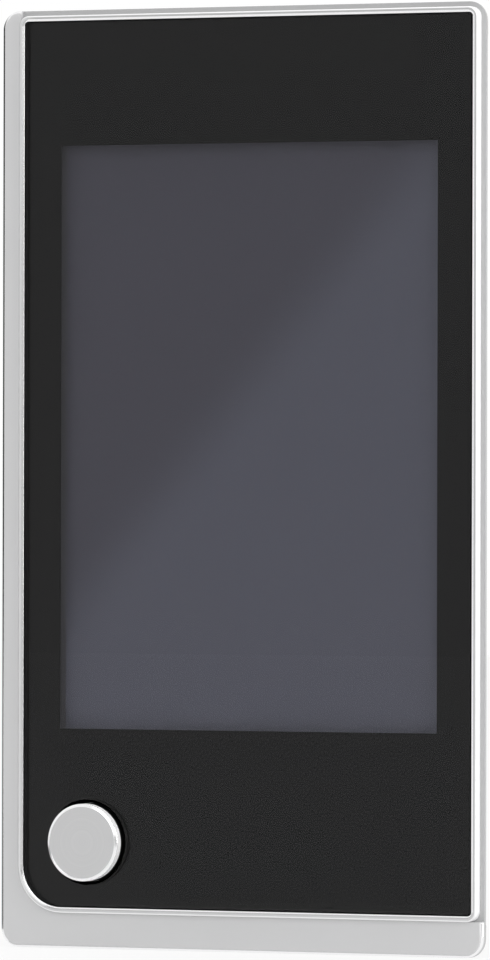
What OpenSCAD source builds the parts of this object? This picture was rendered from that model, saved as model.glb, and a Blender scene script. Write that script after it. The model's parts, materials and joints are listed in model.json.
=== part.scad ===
// Peephole door camera: indoor monitor, door bracket, clamping sleeve and outside camera.
// Millimetres, +Z up. The origin lies on the peephole axis in the plane of the door's inner face.
// The room is at -Y, where the screen faces, and the street is at +Y.

/* [Screen] */
// Width of the clear window in front of the screen
window_w = 51.3; // [50:0.1:60]
// Height of the clear window in front of the screen
window_h = 72.6; // [69:0.1:90]
// How far the screen module reaches past the window on each side
lcd_side = 1.6; // [1.2:0.1:2.4]
// How far the screen module reaches past the window at the top
lcd_over_top = 4.5; // [2:0.1:6]
// How far the screen module reaches past the window at the bottom
lcd_over_bottom = 4.6; // [2:0.1:8]
// Thickness of the screen's glass
lcd_glass_t = 1.5; // [1:0.1:2]
// Thickness of the backlight behind the glass
backlight_t = 1.3; // [0.8:0.1:2]

/* [Front panel] */
// Black border left of the window
panel_left = 4.6; // [4.2:0.1:8]
// Black border right of the window
panel_right = 4.8; // [4.6:0.1:8]
// Black border above the window
panel_top = 15.4; // [14:0.1:24]
// Black border below the window
panel_bottom = 22.1; // [20:0.1:30]
// Thickness of the clear panel
panel_t = 1; // [0.8:0.1:1.6]
// Thickness of the black film behind the panel
film_t = 0.13; // [0.1:0.01:0.3]
// Radius of the panel's lower left corner
panel_big_r = 5.1; // [3:0.1:8]
// Radius of the panel's other corners
panel_small_r = 0.4; // [0.3:0.1:1.5]

/* [Front frame] */
// Width of the flat face left of the panel
face_left = 2.6; // [1.6:0.1:5]
// Width of the flat face below the panel
face_bottom = 4.4; // [3:0.1:8]
// Depth of the flat face below the panel's front
face_drop = 0.4; // [0.2:0.05:0.6]
// Width of the bevel round the flat face
face_bevel_w = 0.4; // [0.3:0.05:0.8]
// Depth of the bevel round the flat face
face_bevel_t = 0.25; // [0.15:0.05:0.4]
// Width of the low ledge at the top and on the right
ledge_w = 0.65; // [0.5:0.05:1.5]
// Corner radius of the body
body_r = 2.3; // [1:0.1:3]
// Thickness of the straight rim behind the ledge
rim_t = 0.4; // [0.3:0.1:1]
// Thickness of the web that carries the panel
web_t = 1.2; // [1:0.1:1.6]
// Wall thickness of the frame
frame_wall = 1.3; // [1:0.1:1.6]

/* [Trim ring] */
// Width of the slope facing the panel
trim_slope_in = 0.3; // [0.2:0.05:0.5]
// Width of the flat crest
trim_crest = 0.23; // [0.15:0.01:0.5]
// Width of the outer slope
trim_slope_out = 0.17; // [0.1:0.01:0.4]
// Height of the crest above the panel
trim_proud = 0.16; // [0.08:0.02:0.2]
// Drop of the outer slope below the crest
trim_fall = 0.1; // [0.05:0.01:0.15]

/* [View button] */
// Diameter of the button
button_d = 9.65; // [7:0.05:10]
// Height of the button above the panel
button_proud = 1.4; // [0.8:0.1:2]
// Distance of the button's axis from the panel's left edge
button_from_left = 8.7; // [8.3:0.1:10]
// Distance of the button's axis from the panel's bottom edge
button_from_bottom = 8; // [7.8:0.1:11]
// Width of the bevel round the button's face
button_bevel = 0.4; // [0.2:0.05:0.6]
// Depth of the bevel round the button's face
button_bevel_t = 0.2; // [0.1:0.05:0.4]
// Travel of the button
button_travel = 0.5; // [0.3:0.1:0.6]
// Side of the square switch body
switch_side = 6; // [5:0.5:7]
// Height of the switch body
switch_h = 1.6; // [1.2:0.1:1.8]

/* [Batteries] */
// Number of battery cells side by side
cell_count = 3; // [2:1:3]
// Diameter of a battery cell
cell_d = 10.5; // [9.5:0.1:10.8]
// Length of a battery cell with its cap
cell_l = 44.5; // [42:0.1:45.5]
// Room for the spring at one end of a cell
spring_room = 3.2; // [2.5:0.1:4]
// Thickness of the battery cover
cover_t = 1.2; // [1:0.1:1.6]

/* [Rear cover] */
// Wall thickness of the rear cover
cover_wall = 1.2; // [1:0.1:1.6]
// Thickness of the rear cover's rim plate
plate_t = 1.5; // [1.2:0.1:2]
// Depth of the pocket for the door bracket
pocket_depth = 6.1; // [5.6:0.1:8]

/* [Door bracket] */
// Width of the bracket plate
bracket_w = 40; // [34:0.5:42]
// Height of the bracket plate
bracket_h = 40; // [36:0.5:42]
// Thickness of the bracket plate and its hooks
bracket_t = 1.5; // [1.2:0.1:2]
// Width of a hook
hook_w = 6; // [4:0.5:7]
// Height of a hook's lip above its stem
hook_lip = 4; // [3:0.1:5]
// How far the monitor lifts to come off the hooks
lift = 6; // [5.5:0.1:8]
// Gap between the monitor's back and the door
rear_gap = 1; // [0.8:0.1:1.3]
// Distance of the peephole axis left of the monitor's middle
axis_offset = 7; // [4:0.5:8]

/* [Door and clamp] */
// Thickness of the door that is clamped
door_t = 35; // [33:1:45]
// Wall thickness of the sleeve inside the door
sleeve_wall = 1.02; // [0.8:0.02:1.6]
// Length of the sleeve inside the door
sleeve_l = 22; // [18:1:28]
// How far the sleeve's flange reaches past the sleeve
sleeve_flange_w = 2.4; // [2:0.1:3.2]
// Thickness of the sleeve's flange
sleeve_flange_t = 2; // [1.5:0.1:2.4]
// Diameter of the camera's threaded barrel
barrel_d = 13.8; // [13:0.1:14]
// Diameter of the cable bore through the barrel
cable_bore_d = 10; // [9.6:0.1:10.5]

/* [Outside camera] */
// Diameter of the outside bezel
bezel_d = 24; // [20:0.5:26]
// Height of the bezel from its seat to its crown
bezel_h = 5; // [4:0.1:7]
// Thickness of the gasket against the door
gasket_t = 1; // [0.8:0.1:2]
// Diameter of the front lens
lens_d = 8.4; // [7.4:0.1:8.6]
// Length of the lens holder
holder_l = 15; // [12:0.5:18]

/* [Hidden] */
$fn = 64;
// Running clearance of turning and sliding fits, on the radius
run_clear = 0.08;
// Clearance round parts that are dropped into a seat
seat_clear = 0.2;
// Bond line between panel and film
bond_gap = 0.02;
// Gap between the panel's edge and the trim ring
edge_gap = 0.15;
// Gap between the trim ring and the frame
trim_fit = 0.02;
// Overshoot of cutting solids
cut = 1;
// Clearance of faces that slide on each other
slide_clear = 0.05;

// Depths from the panel's front face, towards the door
trim_w = trim_slope_in + trim_crest + trim_slope_out;
y_film = panel_t + bond_gap;
y_seat = y_film + film_t;
y_web = y_seat + web_t;
foam_t = 0.3;
y_lcd = y_web + foam_t;
y_backlight = y_lcd + lcd_glass_t;
y_lcd_back = y_backlight + backlight_t;
pad_t = 0.35;
board_t = 1;
y_board = y_lcd_back + pad_t;
y_board_back = y_board + board_t;
y_split = y_board_back + seat_clear;
y_plate = y_split + plate_t;
y_cell = y_board + cover_wall + seat_clear;
y_cover = y_cell + cell_d + seat_clear;
y_back = y_cover + cover_t;
y_pocket = y_back - pocket_depth;
monitor_depth = y_back + rear_gap;

// Monitor outline, measured from its own middle
side_low = ledge_w + trim_w + edge_gap;
side_left = face_left + trim_w + edge_gap;
side_bottom = face_bottom + trim_w + edge_gap;
panel_w = panel_left + window_w + panel_right;
panel_h = panel_bottom + window_h + panel_top;
body_w = side_left + panel_w + side_low;
body_h = side_bottom + panel_h + side_low;
body_rect = [-body_w / 2, body_w / 2, -body_h / 2, body_h / 2];
panel_rect = [
  body_rect[0] + side_left,
  body_rect[1] - side_low,
  body_rect[2] + side_bottom,
  body_rect[3] - side_low
];
panel_radii = [panel_big_r, panel_small_r, panel_small_r, panel_small_r];
window_rect = [
  panel_rect[0] + panel_left,
  panel_rect[1] - panel_right,
  panel_rect[2] + panel_bottom,
  panel_rect[3] - panel_top
];
lcd_rect = [
  window_rect[0] - lcd_side,
  window_rect[1] + lcd_side,
  window_rect[2] - lcd_over_bottom,
  window_rect[3] + lcd_over_top
];

// View button
button_x = panel_rect[0] + button_from_left;
button_z = panel_rect[2] + button_from_bottom;
button_gap = 0.5;
button_flange_w = 1;
button_flange_t = 0.8;
flange_gap = 0.1;
y_button_flange = y_web + flange_gap;
y_button_back = y_button_flange + button_flange_t;
plunger_d = 2.3;
switch_margin_x = 1.6;
switch_margin_z = 1.2;
button_board_w = switch_side + 2 * switch_margin_x;
button_board_h = switch_side + 2 * switch_margin_z;
y_button_board = y_split - board_t;
y_switch = y_button_board - switch_h;
plunger_hold = 0.4;
plunger_depth = button_travel + plunger_hold;

// Case screws and board screws
screw_r = 0.95;
screw_hole_r = 1;
screw_head_r = 1.8;
screw_head_t = 1.1;
screw_pass = 0.15;
screw_tip_gap = 0.5;
boss_r = 2.2;
boss_inset = 2.1;
board_boss_r = 1.8;
lcd_rib_t = 1.2;
rib_gap = 2;
rib_l = 12;

// Widths of the battery bay, the pocket and the hump
cell_gap = 0.3;
cell_side = 0.5;
bay_w = cell_count * cell_d + (cell_count - 1) * cell_gap + 2 * cell_side;
bay_x0 = button_x + button_board_w / 2 + seat_clear + cover_wall;
bay_x1 = bay_x0 + bay_w;
bay_x = (bay_x0 + bay_x1) / 2;
first_cell_x = bay_x0 + cell_side + cell_d / 2;
cover_lap = 1.6;
rail_w = 1;
rail_t = 0.5;
cover_x0 = bay_x0 - cover_lap;
cover_x1 = bay_x1 + cover_lap;
pocket_clear = 0.8;
pocket_half = bracket_w / 2 + pocket_clear;
hump_wall = 1.6;
hump_draft = 0.6;
hump_half = max(pocket_half, cover_x1 + rail_w + seat_clear, -cover_x0 + rail_w + seat_clear) + hump_wall;

// Inside of the frame
lcd_clear = 0.4;
tray_rim = 0.8;
tray_dish = 0.25;
screw_edge = hump_half + hump_draft + screw_head_r + boss_inset;
inner_half = max(lcd_rect[1] + lcd_clear, screw_edge);
skirt_inset = body_rect[1] - inner_half - frame_wall;
inner_r = 1;
skirt_r = skirt_inset + inner_r;
inner_rect = grow(body_rect, -skirt_inset - frame_wall);
plate_taper = 0.8;
boss_x = inner_rect[1] - boss_inset;
boss_z = inner_rect[3] - boss_inset;

// Battery bay
contact_t = 0.5;
contact_side = 7.2;
spring_foot_r = 3.4;
spring_top_r = 2.2;
cell_cap_l = 1;
cell_cap_r = 1.9;
bay_l = cell_l + spring_room + contact_t;
bay_z0 = inner_rect[2] + seat_clear + cover_wall;
bay_z1 = bay_z0 + bay_l;
lid_top = bay_z1 + cover_wall / 2;
ridges = 4;
ridge_l = 14;
ridge_w = 0.8;
ridge_h = 0.4;
ridge_step = 2;
ridge_drop = 6;

// Pocket and bracket, in the monitor's own frame
pocket_z0 = bay_z1 + cover_wall;
bracket_z0 = pocket_z0 + lift + pocket_clear;
bracket_z1 = bracket_z0 + bracket_h;
pocket_z1 = bracket_z1 + pocket_clear;
hump_z0 = bay_z0 - cover_wall;
hump_z1 = inner_rect[3] - seat_clear;
hump_bevel = 1.2;
hump_r = 2;
void_roof = 1;
axis_x = -axis_offset;
axis_z = (bracket_z0 + bracket_z1) / 2;
bracket_r = 3;

// Hooks: stem under the pocket floor's slot, lip standing up behind the floor
hook_gap = 0.2;
hook_margin = 2;
hook_x = bracket_w / 2 - hook_w / 2 - hook_margin;
hook_rows = [bracket_z0 + hook_margin, bracket_z1 - hook_lip - bracket_t - hook_margin];
slot_side = 0.5;
slot_spare = 0.4;
y_floor = y_pocket - cover_wall;
y_lip = y_floor - hook_gap - bracket_t;

// Main board and what it carries
main_x = boss_x - boss_r - seat_clear;
main_z0 = bay_z1 + cover_wall + seat_clear;
main_z1 = inner_rect[3] - seat_clear;
board_screw_x = hump_half - hump_wall - screw_head_r - seat_clear;
board_screw_z = hump_z1 - hump_wall - screw_head_r - seat_clear;
flex_w = 16;
flex_t = 0.2;
flex_bow = 1.7;
flex_inset = 0.6;
y_flex = y_backlight - flex_inset;
lcd_socket_h = 1.2;
lcd_socket_l = 3;
flex_drop = 0.6;
flex_side = 0.5;
socket_w = 10;
socket_l = 5;
socket_wall = 1;
socket_x = hook_x - hook_w / 2 - slot_side - socket_wall - seat_clear - socket_w / 2;
socket_up = 6;
socket_z = bracket_z0 + socket_up;
mouth_wall = 0.7;
mouth_depth = 3.2;

chip_step = 6;
chip_gap = 2.3;
processor_side = 11;
memory_side = 7;
regulator_side = 4;
coil_r = 2.5;
chip_low = 1.2;
chip_tall = 2.2;
pad_w = 5;
pad_h = 16;
pad_inset = 2;

// Outside of the door
sleeve_r = barrel_d / 2 + run_clear + sleeve_wall;
sleeve_flange_r = sleeve_r + sleeve_flange_w;
shoulder_step = 0.3;
shoulder_r = sleeve_r + shoulder_step;
barrel_proud = 1;
barrel_in = sleeve_flange_t + bracket_t + barrel_proud;
y_seal = door_t;
y_head = door_t + gasket_t;
head_flange_t = 1.5;
bezel_wall = 1.5;
head_flange_r = bezel_d / 2 - bezel_wall;
gasket_inset = 0.3;
sleeve_notches = 4;
notch_w = 3;
notch_d = 1.6;
lens_r = lens_d / 2;
holder_wall = 0.6;
holder_r = cable_bore_d / 2 - run_clear;
lens_seat = 0.6;
y_lens_seat = y_head + lens_seat;
holder_proud = 2.5;
y_holder_front = y_head + holder_proud;
y_sensor_board = y_holder_front - holder_l;
sensor_well = 4;
sensor_side = 5.6;
sensor_t = 0.9;
filter_side = 5.2;
filter_t = 0.4;
glue_t = 0.1;
lens_lip = 0.5;
lens_ring_t = 0.9;
lens_edge = 1.2;
lens_bulge = 1.25;
rear_lens_t = 2.2;
rear_lens_gap = 2;
lens_shelf = 0.8;
lens_bore_r = lens_r - lens_shelf;
camera_socket_w = 6;
camera_socket_l = 2;
camera_socket_h = 4;
bezel_edge = 1.6;
bezel_lip = 1.6;

SILVER = "#c8c8c8";
CHROME = "#e2e4e6";
BLACK = "#141414";
CHARCOAL = "#2b2c2f";
STEEL = "#9a9da1";
GREEN = "#1f5a3a";

// A rectangle [x0, x1, z0, z1] with every side moved out by d
function grow(rect, d) = [rect[0] - d, rect[1] + d, rect[2] - d, rect[3] + d];

// Places a child drawn in the monitor's own frame
module at_monitor() {
  translate([-axis_x, -monitor_depth, -axis_z]) children();
}

// Box between two corners given as ranges
module span(x, y, z) {
  translate([x[0], y[0], z[0]]) cube([x[1] - x[0], y[1] - y[0], z[1] - z[0]]);
}

// Flat rectangle [x0, x1, z0, z1] between two depths
module slab(rect, y0, y1) {
  span([rect[0], rect[1]], [y0, y1], [rect[2], rect[3]]);
}

// Cylinder or cone along Y
module rod(x, z, y0, y1, r0, r1 = -1) {
  translate([x, y0, z]) rotate([-90, 0, 0]) cylinder(h = y1 - y0, r1 = r0, r2 = r1 < 0 ? r0 : r1);
}

// Tube along Y
module tube(x, z, y0, y1, outer, inner) {
  difference() {
    rod(x, z, y0, y1, outer);
    rod(x, z, y0 - cut, y1 + cut, inner);
  }
}

// Block with rounded corners whose sides lean: its outline grows by g0 at y0 and by g1 at y1.
// The radii run lower left, lower right, upper right, upper left.
module rounded_block(rect, radii, y0, y1, g0 = 0, g1 = 0) {
  x0 = rect[0];
  x1 = rect[1];
  z0 = rect[2];
  z1 = rect[3];
  xm = (x0 + x1) / 2;
  zm = (z0 + z1) / 2;
  translate([0, 0, z0 + radii[0]]) linear_extrude(z1 - z0 - radii[0] - radii[3])
    polygon([[x0 - g0, y0], [x0 - g1, y1], [xm, y1], [xm, y0]]);
  translate([0, 0, z0 + radii[1]]) linear_extrude(z1 - z0 - radii[1] - radii[2])
    polygon([[x1 + g0, y0], [x1 + g1, y1], [xm, y1], [xm, y0]]);
  translate([x0 + radii[0], 0, 0]) rotate([90, 0, 90]) linear_extrude(x1 - x0 - radii[0] - radii[1])
    polygon([[y0, z0 - g0], [y1, z0 - g1], [y1, zm], [y0, zm]]);
  translate([x0 + radii[3], 0, 0]) rotate([90, 0, 90]) linear_extrude(x1 - x0 - radii[3] - radii[2])
    polygon([[y0, z1 + g0], [y1, z1 + g1], [y1, zm], [y0, zm]]);
  rod(x0 + radii[0], z0 + radii[0], y0, y1, radii[0] + g0, radii[0] + g1);
  rod(x1 - radii[1], z0 + radii[1], y0, y1, radii[1] + g0, radii[1] + g1);
  rod(x1 - radii[2], z1 - radii[2], y0, y1, radii[2] + g0, radii[2] + g1);
  rod(x0 + radii[3], z1 - radii[3], y0, y1, radii[3] + g0, radii[3] + g1);
}

// Four copies at the case screws
module at_case_screws() {
  for (sx = [-1, 1], sz = [-1, 1]) translate([sx * boss_x, 0, sz * boss_z]) children();
}

// Two copies at the main board's screws
module at_board_screws() {
  for (sx = [-1, 1]) translate([sx * board_screw_x, 0, board_screw_z]) children();
}

// Copies at the battery cells, with every second cell turned round
module at_cells() {
  for (i = [0 : cell_count - 1])
    translate([first_cell_x + i * (cell_d + cell_gap), y_cell + cell_d / 2, (bay_z0 + bay_z1) / 2])
      rotate([0, i % 2 == 0 ? 0 : 180, 0]) children();
}

// Silver front frame: L-shaped flat face, ledge, skirt, web and bosses
module front_frame() {
  face_cut = [
    body_rect[0] + face_left,
    body_rect[1] + cut,
    body_rect[2] + face_bottom,
    body_rect[3] + cut
  ];
  face_cut_r = panel_big_r + edge_gap + trim_w;
  outer = [body_r, body_r, body_r, body_r];
  skirt = [skirt_r, skirt_r, skirt_r, skirt_r];
  color(SILVER) at_monitor() difference() {
    union() {
      difference() {
        union() {
          rounded_block(body_rect, outer, y_seat, y_seat + rim_t);
          rounded_block(body_rect, skirt, y_seat + rim_t, y_split, 0, -skirt_inset);
        }
        rounded_block(inner_rect, [inner_r, inner_r, inner_r, inner_r], y_web, y_split + cut);
        slab(grow(window_rect, lcd_side / 2), y_seat - cut, y_web + cut);
      }
      difference() {
        union() {
          rounded_block(body_rect, outer, face_drop, face_drop + face_bevel_t, -face_bevel_w, 0);
          rounded_block(body_rect, outer, face_drop + face_bevel_t, y_seat);
        }
        rounded_block(face_cut, [face_cut_r, cut, cut, cut], face_drop - cut, y_seat);
      }
      at_case_screws() rod(0, 0, y_web, y_split, boss_r);
      at_board_screws() rod(0, 0, y_web, y_board, board_boss_r);
      lcd_ribs();
    }
    at_case_screws() rod(0, 0, y_web, y_split + cut, screw_hole_r);
    at_board_screws() rod(0, 0, y_web, y_board + cut, screw_hole_r);
    rod(button_x, button_z, y_seat - cut, y_web + cut, button_d / 2 + run_clear);
  }
}

// Ribs of the front frame that hold the screen at its top and bottom
module lcd_ribs() {
  rib_x = flex_w / 2 + rib_gap;
  above = lcd_rect[3] + seat_clear;
  below = lcd_rect[2] - seat_clear;
  for (x = [-rib_x - rib_l, rib_x], z = [above, below - lcd_rib_t])
    span([x, x + rib_l], [y_web, y_lcd_back], [z, z + lcd_rib_t]);
}

// Bright trim ring round the panel: a low bead with a flat crest between two slopes, on a straight wall
module trim_ring() {
  inner = edge_gap;
  crest_in = inner + trim_slope_in;
  crest_out = crest_in + trim_crest;
  outer = inner + trim_w - trim_fit;
  y_foot = trim_fall - trim_proud;
  color(CHROME) at_monitor() difference() {
    union() {
      rounded_block(panel_rect, panel_radii, -trim_proud, y_foot, crest_out, outer);
      rounded_block(panel_rect, panel_radii, y_foot, y_seat, outer, outer);
    }
    rounded_block(panel_rect, panel_radii, -trim_proud, 0, crest_in, inner);
    rounded_block(panel_rect, panel_radii, 0, y_seat + cut, inner, inner);
    rounded_block(panel_rect, panel_radii, -trim_proud - cut, -trim_proud, crest_in, crest_in);
  }
}

// Clear front panel
module front_panel() {
  color([0.75, 0.8, 0.85, 0.4]) at_monitor() difference() {
    rounded_block(panel_rect, panel_radii, 0, panel_t);
    rod(button_x, button_z, -cut, panel_t + cut, button_d / 2 + button_gap);
  }
}

// Black film behind the panel, with the screen's window; it fills the seat inside the trim
module window_film() {
  spread = edge_gap - trim_fit;
  color(BLACK) at_monitor() difference() {
    rounded_block(panel_rect, panel_radii, y_film, y_seat, spread, spread);
    slab(window_rect, y_film - cut, y_seat + cut);
    rod(button_x, button_z, y_film - cut, y_seat + cut, button_d / 2 + run_clear);
  }
}

// Foam gasket between the web and the screen
module screen_gasket() {
  color(BLACK) at_monitor() difference() {
    slab(lcd_rect, y_web, y_lcd);
    slab(grow(window_rect, lcd_side / 2), y_web - cut, y_lcd + cut);
  }
}

// Screen glass
module lcd_glass() {
  color(CHARCOAL) at_monitor() slab(lcd_rect, y_lcd, y_backlight);
}

// Backlight tray of the screen, with its folded rim
module backlight() {
  color(STEEL) at_monitor() difference() {
    slab(lcd_rect, y_backlight, y_lcd_back);
    slab(grow(lcd_rect, -tray_rim), y_lcd_back - tray_dish, y_lcd_back + cut);
  }
}

// Flexible tail from the screen's top edge through the board's slot to its socket
module lcd_flex() {
  top = lcd_rect[3] + flex_bow;
  back = y_board_back + flex_drop;
  low = lcd_rect[3] - flex_drop;
  color("#b5762b") at_monitor() translate([-flex_w / 2, 0, 0]) rotate([90, 0, 90]) linear_extrude(flex_w)
    polygon([
      [y_flex, lcd_rect[3]],
      [y_flex, top],
      [back, top],
      [back, low],
      [back - flex_t, low],
      [back - flex_t, top - flex_t],
      [y_flex + flex_t, top - flex_t],
      [y_flex + flex_t, lcd_rect[3]]
    ]);
}

// Socket of the screen's tail
module lcd_socket() {
  half = flex_w / 2 + 2 * flex_side;
  top = lcd_rect[3] - flex_drop;
  color("#e8e4d8") at_monitor()
    span([-half, half], [y_board_back, y_board_back + lcd_socket_h], [top - lcd_socket_l, top]);
}

// Main circuit board, with a slot for the screen's tail
module main_board() {
  half = flex_w / 2 + flex_side;
  slot_z = lcd_rect[3] + flex_bow;
  color(GREEN) at_monitor() difference() {
    slab([-main_x, main_x, main_z0, main_z1], y_board, y_board_back);
    slab([-half, half, slot_z - flex_t - flex_side, slot_z + flex_side], y_board - cut, y_board_back + cut);
    at_board_screws() rod(0, 0, y_board - cut, y_board_back + cut, screw_hole_r + screw_pass);
  }
}

// Foam pads between the backlight and the main board
module board_pads() {
  pad_z = main_z0 + pad_inset;
  color(CHARCOAL) at_monitor() for (x = [-main_x + pad_inset, main_x - pad_inset - pad_w])
    span([x, x + pad_w], [y_lcd_back, y_board], [pad_z, pad_z + pad_h]);
}

// One square chip on the back of the main board, with its middle at x, z
module chip(x, z, side, height) {
  slab(
    [x - side / 2, x + side / 2, z - side / 2, z + side / 2],
    y_board_back,
    y_board_back + height
  );
}

// Processor, memory, regulator and coil on the back of the main board
module board_chips() {
  mid = (main_z0 + main_z1) / 2;
  far = hump_half - hump_wall - seat_clear - coil_r;
  near = far - coil_r - chip_gap - processor_side / 2;
  color(BLACK) at_monitor() {
    chip(-near, mid + chip_step / 2, processor_side, chip_low);
    chip(near, mid + chip_step, memory_side, chip_low);
    chip(-far, mid - chip_step, regulator_side, chip_tall);
    rod(far, mid - chip_step, y_board_back, y_board_back + chip_tall, coil_r);
  }
}

// Screws of the main board
module board_screws() {
  color(STEEL) at_monitor() at_board_screws() {
    rod(0, 0, y_board_back, y_board_back + screw_head_t, screw_head_r);
    rod(0, 0, y_web + screw_tip_gap, y_board_back, screw_r);
  }
}

// Socket for the camera's cable, reached through the pocket's floor
module cable_socket() {
  outer = [
    socket_x - socket_w / 2,
    socket_x + socket_w / 2,
    socket_z - socket_l / 2,
    socket_z + socket_l / 2
  ];
  front = y_pocket - seat_clear;
  color("#ece8de") at_monitor() difference() {
    slab(outer, y_board_back, front);
    slab(grow(outer, -mouth_wall), front - mouth_depth, front + cut);
  }
}

// Small board behind the view button, cut out round the case boss
module button_board() {
  outline = [
    button_x - button_board_w / 2,
    button_x + button_board_w / 2,
    button_z - button_board_h / 2,
    button_z + button_board_h / 2
  ];
  color(GREEN) at_monitor() difference() {
    slab(outline, y_button_board, y_split);
    at_case_screws() rod(0, 0, y_button_board - cut, y_split + cut, boss_r + seat_clear);
  }
}

// Push switch with its well for the plunger
module tact_switch() {
  half = switch_side / 2;
  color(BLACK) at_monitor() translate([button_x, 0, button_z]) difference() {
    slab([-half, half, -half, half], y_switch, y_button_board);
    rod(0, 0, y_switch - cut, y_switch + plunger_depth + seat_clear, plunger_d / 2 + run_clear);
  }
}

// Plunger of the push switch
module switch_plunger() {
  color("#d8d2c4") at_monitor()
    rod(button_x, button_z, y_button_back, y_switch + plunger_depth - button_travel, plunger_d / 2);
}

// Round view button with its bevel and the flange behind the web
module button_cap() {
  r = button_d / 2;
  color(CHROME) at_monitor() translate([button_x, 0, button_z]) {
    rod(0, 0, -button_proud, button_bevel_t - button_proud, r - button_bevel, r);
    rod(0, 0, button_bevel_t - button_proud, y_button_flange, r);
    rod(0, 0, y_button_flange, y_button_back, r + button_flange_w);
  }
}

// Rear cover: rim plate, hump, battery bay, and pocket for the door bracket
module rear_cover() {
  rim = grow(body_rect, -skirt_inset);
  rim_r = skirt_r - skirt_inset + plate_taper;
  hump = [-hump_half, hump_half, hump_z0, hump_z1];
  color(CHARCOAL) at_monitor() difference() {
    union() {
      rounded_block(rim, [rim_r, rim_r, rim_r, rim_r], y_split, y_plate, 0, -plate_taper);
      rounded_block(hump, [hump_r, hump_r, hump_r, hump_r], y_split, y_back - hump_bevel, hump_draft, 0);
      rounded_block(hump, [hump_r, hump_r, hump_r, hump_r], y_back - hump_bevel, y_back, 0, -hump_bevel);
      span(
        [bay_x0 - cover_wall, bay_x1 + cover_wall],
        [y_board, y_split + cut],
        [bay_z0 - cover_wall, bay_z1 + cover_wall]
      );
    }
    board_hollow();
    bay_hollows();
    bracket_pocket();
    at_case_screws() rod(0, 0, y_split - cut, y_plate + cut, screw_hole_r + screw_pass);
  }
}

// Hollow of the rear cover over the main board and its socket
module board_hollow() {
  half = hump_half - hump_wall;
  top = hump_z1 - hump_wall;
  span([-half, half], [y_split - cut, y_floor], [bay_z1 + cover_wall, top]);
  span([-half, half], [y_split - cut, y_back - hump_wall], [pocket_z1 + hump_wall, top]);
  span(
    [socket_x - socket_w / 2 - seat_clear, socket_x + socket_w / 2 + seat_clear],
    [y_floor - cut, y_pocket + cut],
    [socket_z - socket_l / 2 - seat_clear, socket_z + socket_l / 2 + seat_clear]
  );
}

// Hollows of the battery bay, of the voids beside it, and of its cover's seat with the rail grooves
module bay_hollows() {
  half = hump_half - hump_wall;
  y_void = y_cover - cover_wall - void_roof;
  seat = [cover_x0 - seat_clear, cover_x1 + seat_clear];
  slab([bay_x0, bay_x1, bay_z0, bay_z1], y_cell - seat_clear, y_back + cut);
  slab([-half, bay_x0 - cover_wall, bay_z0, bay_z1], y_split - cut, y_void);
  slab([bay_x1 + cover_wall, half, bay_z0, bay_z1], y_split - cut, y_void);
  span(seat, [y_cover, y_back + cut], [hump_z0 - cut, lid_top]);
  span(
    [seat[0] - rail_w, seat[1] + rail_w],
    [y_cover, y_cover + rail_t + seat_clear],
    [hump_z0 - cut, lid_top]
  );
}

// Pocket for the bracket, with the four hook slots through its floor
module bracket_pocket() {
  span([-pocket_half, pocket_half], [y_pocket, y_back + cut], [pocket_z0, pocket_z1]);
  for (sx = [-1, 1], z = hook_rows)
    span(
      [sx * hook_x - hook_w / 2 - slot_side, sx * hook_x + hook_w / 2 + slot_side],
      [y_floor - cut, y_pocket + cut],
      [z - lift - slot_spare, z + bracket_t]
    );
}

// Screws that close the case
module case_screws() {
  color(STEEL) at_monitor() at_case_screws() {
    rod(0, 0, y_plate, y_plate + screw_head_t, screw_head_r);
    rod(0, 0, y_web + screw_tip_gap, y_plate, screw_r);
  }
}

// Battery cells
module battery_cells() {
  color("#4c5a63") at_monitor() at_cells() translate([0, 0, -bay_l / 2 + spring_room]) {
    cylinder(h = cell_l - cell_cap_l, r = cell_d / 2);
    translate([0, 0, cell_l - cell_cap_l]) cylinder(h = cell_cap_l, r = cell_cap_r);
  }
}

// Coned springs under the cells
module battery_springs() {
  color(CHROME) at_monitor() at_cells() translate([0, 0, -bay_l / 2])
    cylinder(h = spring_room, r1 = spring_foot_r, r2 = spring_top_r);
}

// Contact plates over the cells' caps
module battery_contacts() {
  half = contact_side / 2;
  color(STEEL) at_monitor() at_cells() translate([-half, -half, bay_l / 2 - contact_t])
    cube([contact_side, contact_side, contact_t]);
}

// Sliding battery cover with rails and finger ridges
module battery_cover() {
  top = lid_top - seat_clear;
  front = y_cover + slide_clear;
  color(CHARCOAL) at_monitor() {
    span([cover_x0, cover_x1], [front, y_back], [hump_z0, top]);
    span([cover_x0 - rail_w, cover_x1 + rail_w], [front, y_cover + rail_t], [hump_z0, top]);
    for (i = [0 : ridges - 1]) translate([bay_x, 0, top - ridge_drop - i * ridge_step])
      span([-ridge_l / 2, ridge_l / 2], [y_back, y_back + ridge_h], [0, ridge_w]);
  }
}

// Steel bracket on the door, with four hooks for the monitor
module mounting_bracket() {
  stem_reach = rear_gap + y_back - y_lip;
  corner = [bracket_r, bracket_r, bracket_r, bracket_r];
  plate = [-bracket_w / 2, bracket_w / 2, bracket_z0, bracket_z1];
  color(STEEL) difference() {
    at_monitor() union() {
      rounded_block(plate, corner, monitor_depth - bracket_t, monitor_depth);
      for (sx = [-1, 1], z = hook_rows) translate([sx * hook_x - hook_w / 2, 0, z]) {
        span([0, hook_w], [y_lip, y_lip + stem_reach], [0, bracket_t]);
        span([0, hook_w], [y_lip, y_lip + bracket_t], [0, bracket_t + hook_lip]);
      }
    }
    rod(0, 0, -bracket_t - cut, cut, shoulder_r + run_clear);
  }
}

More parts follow.
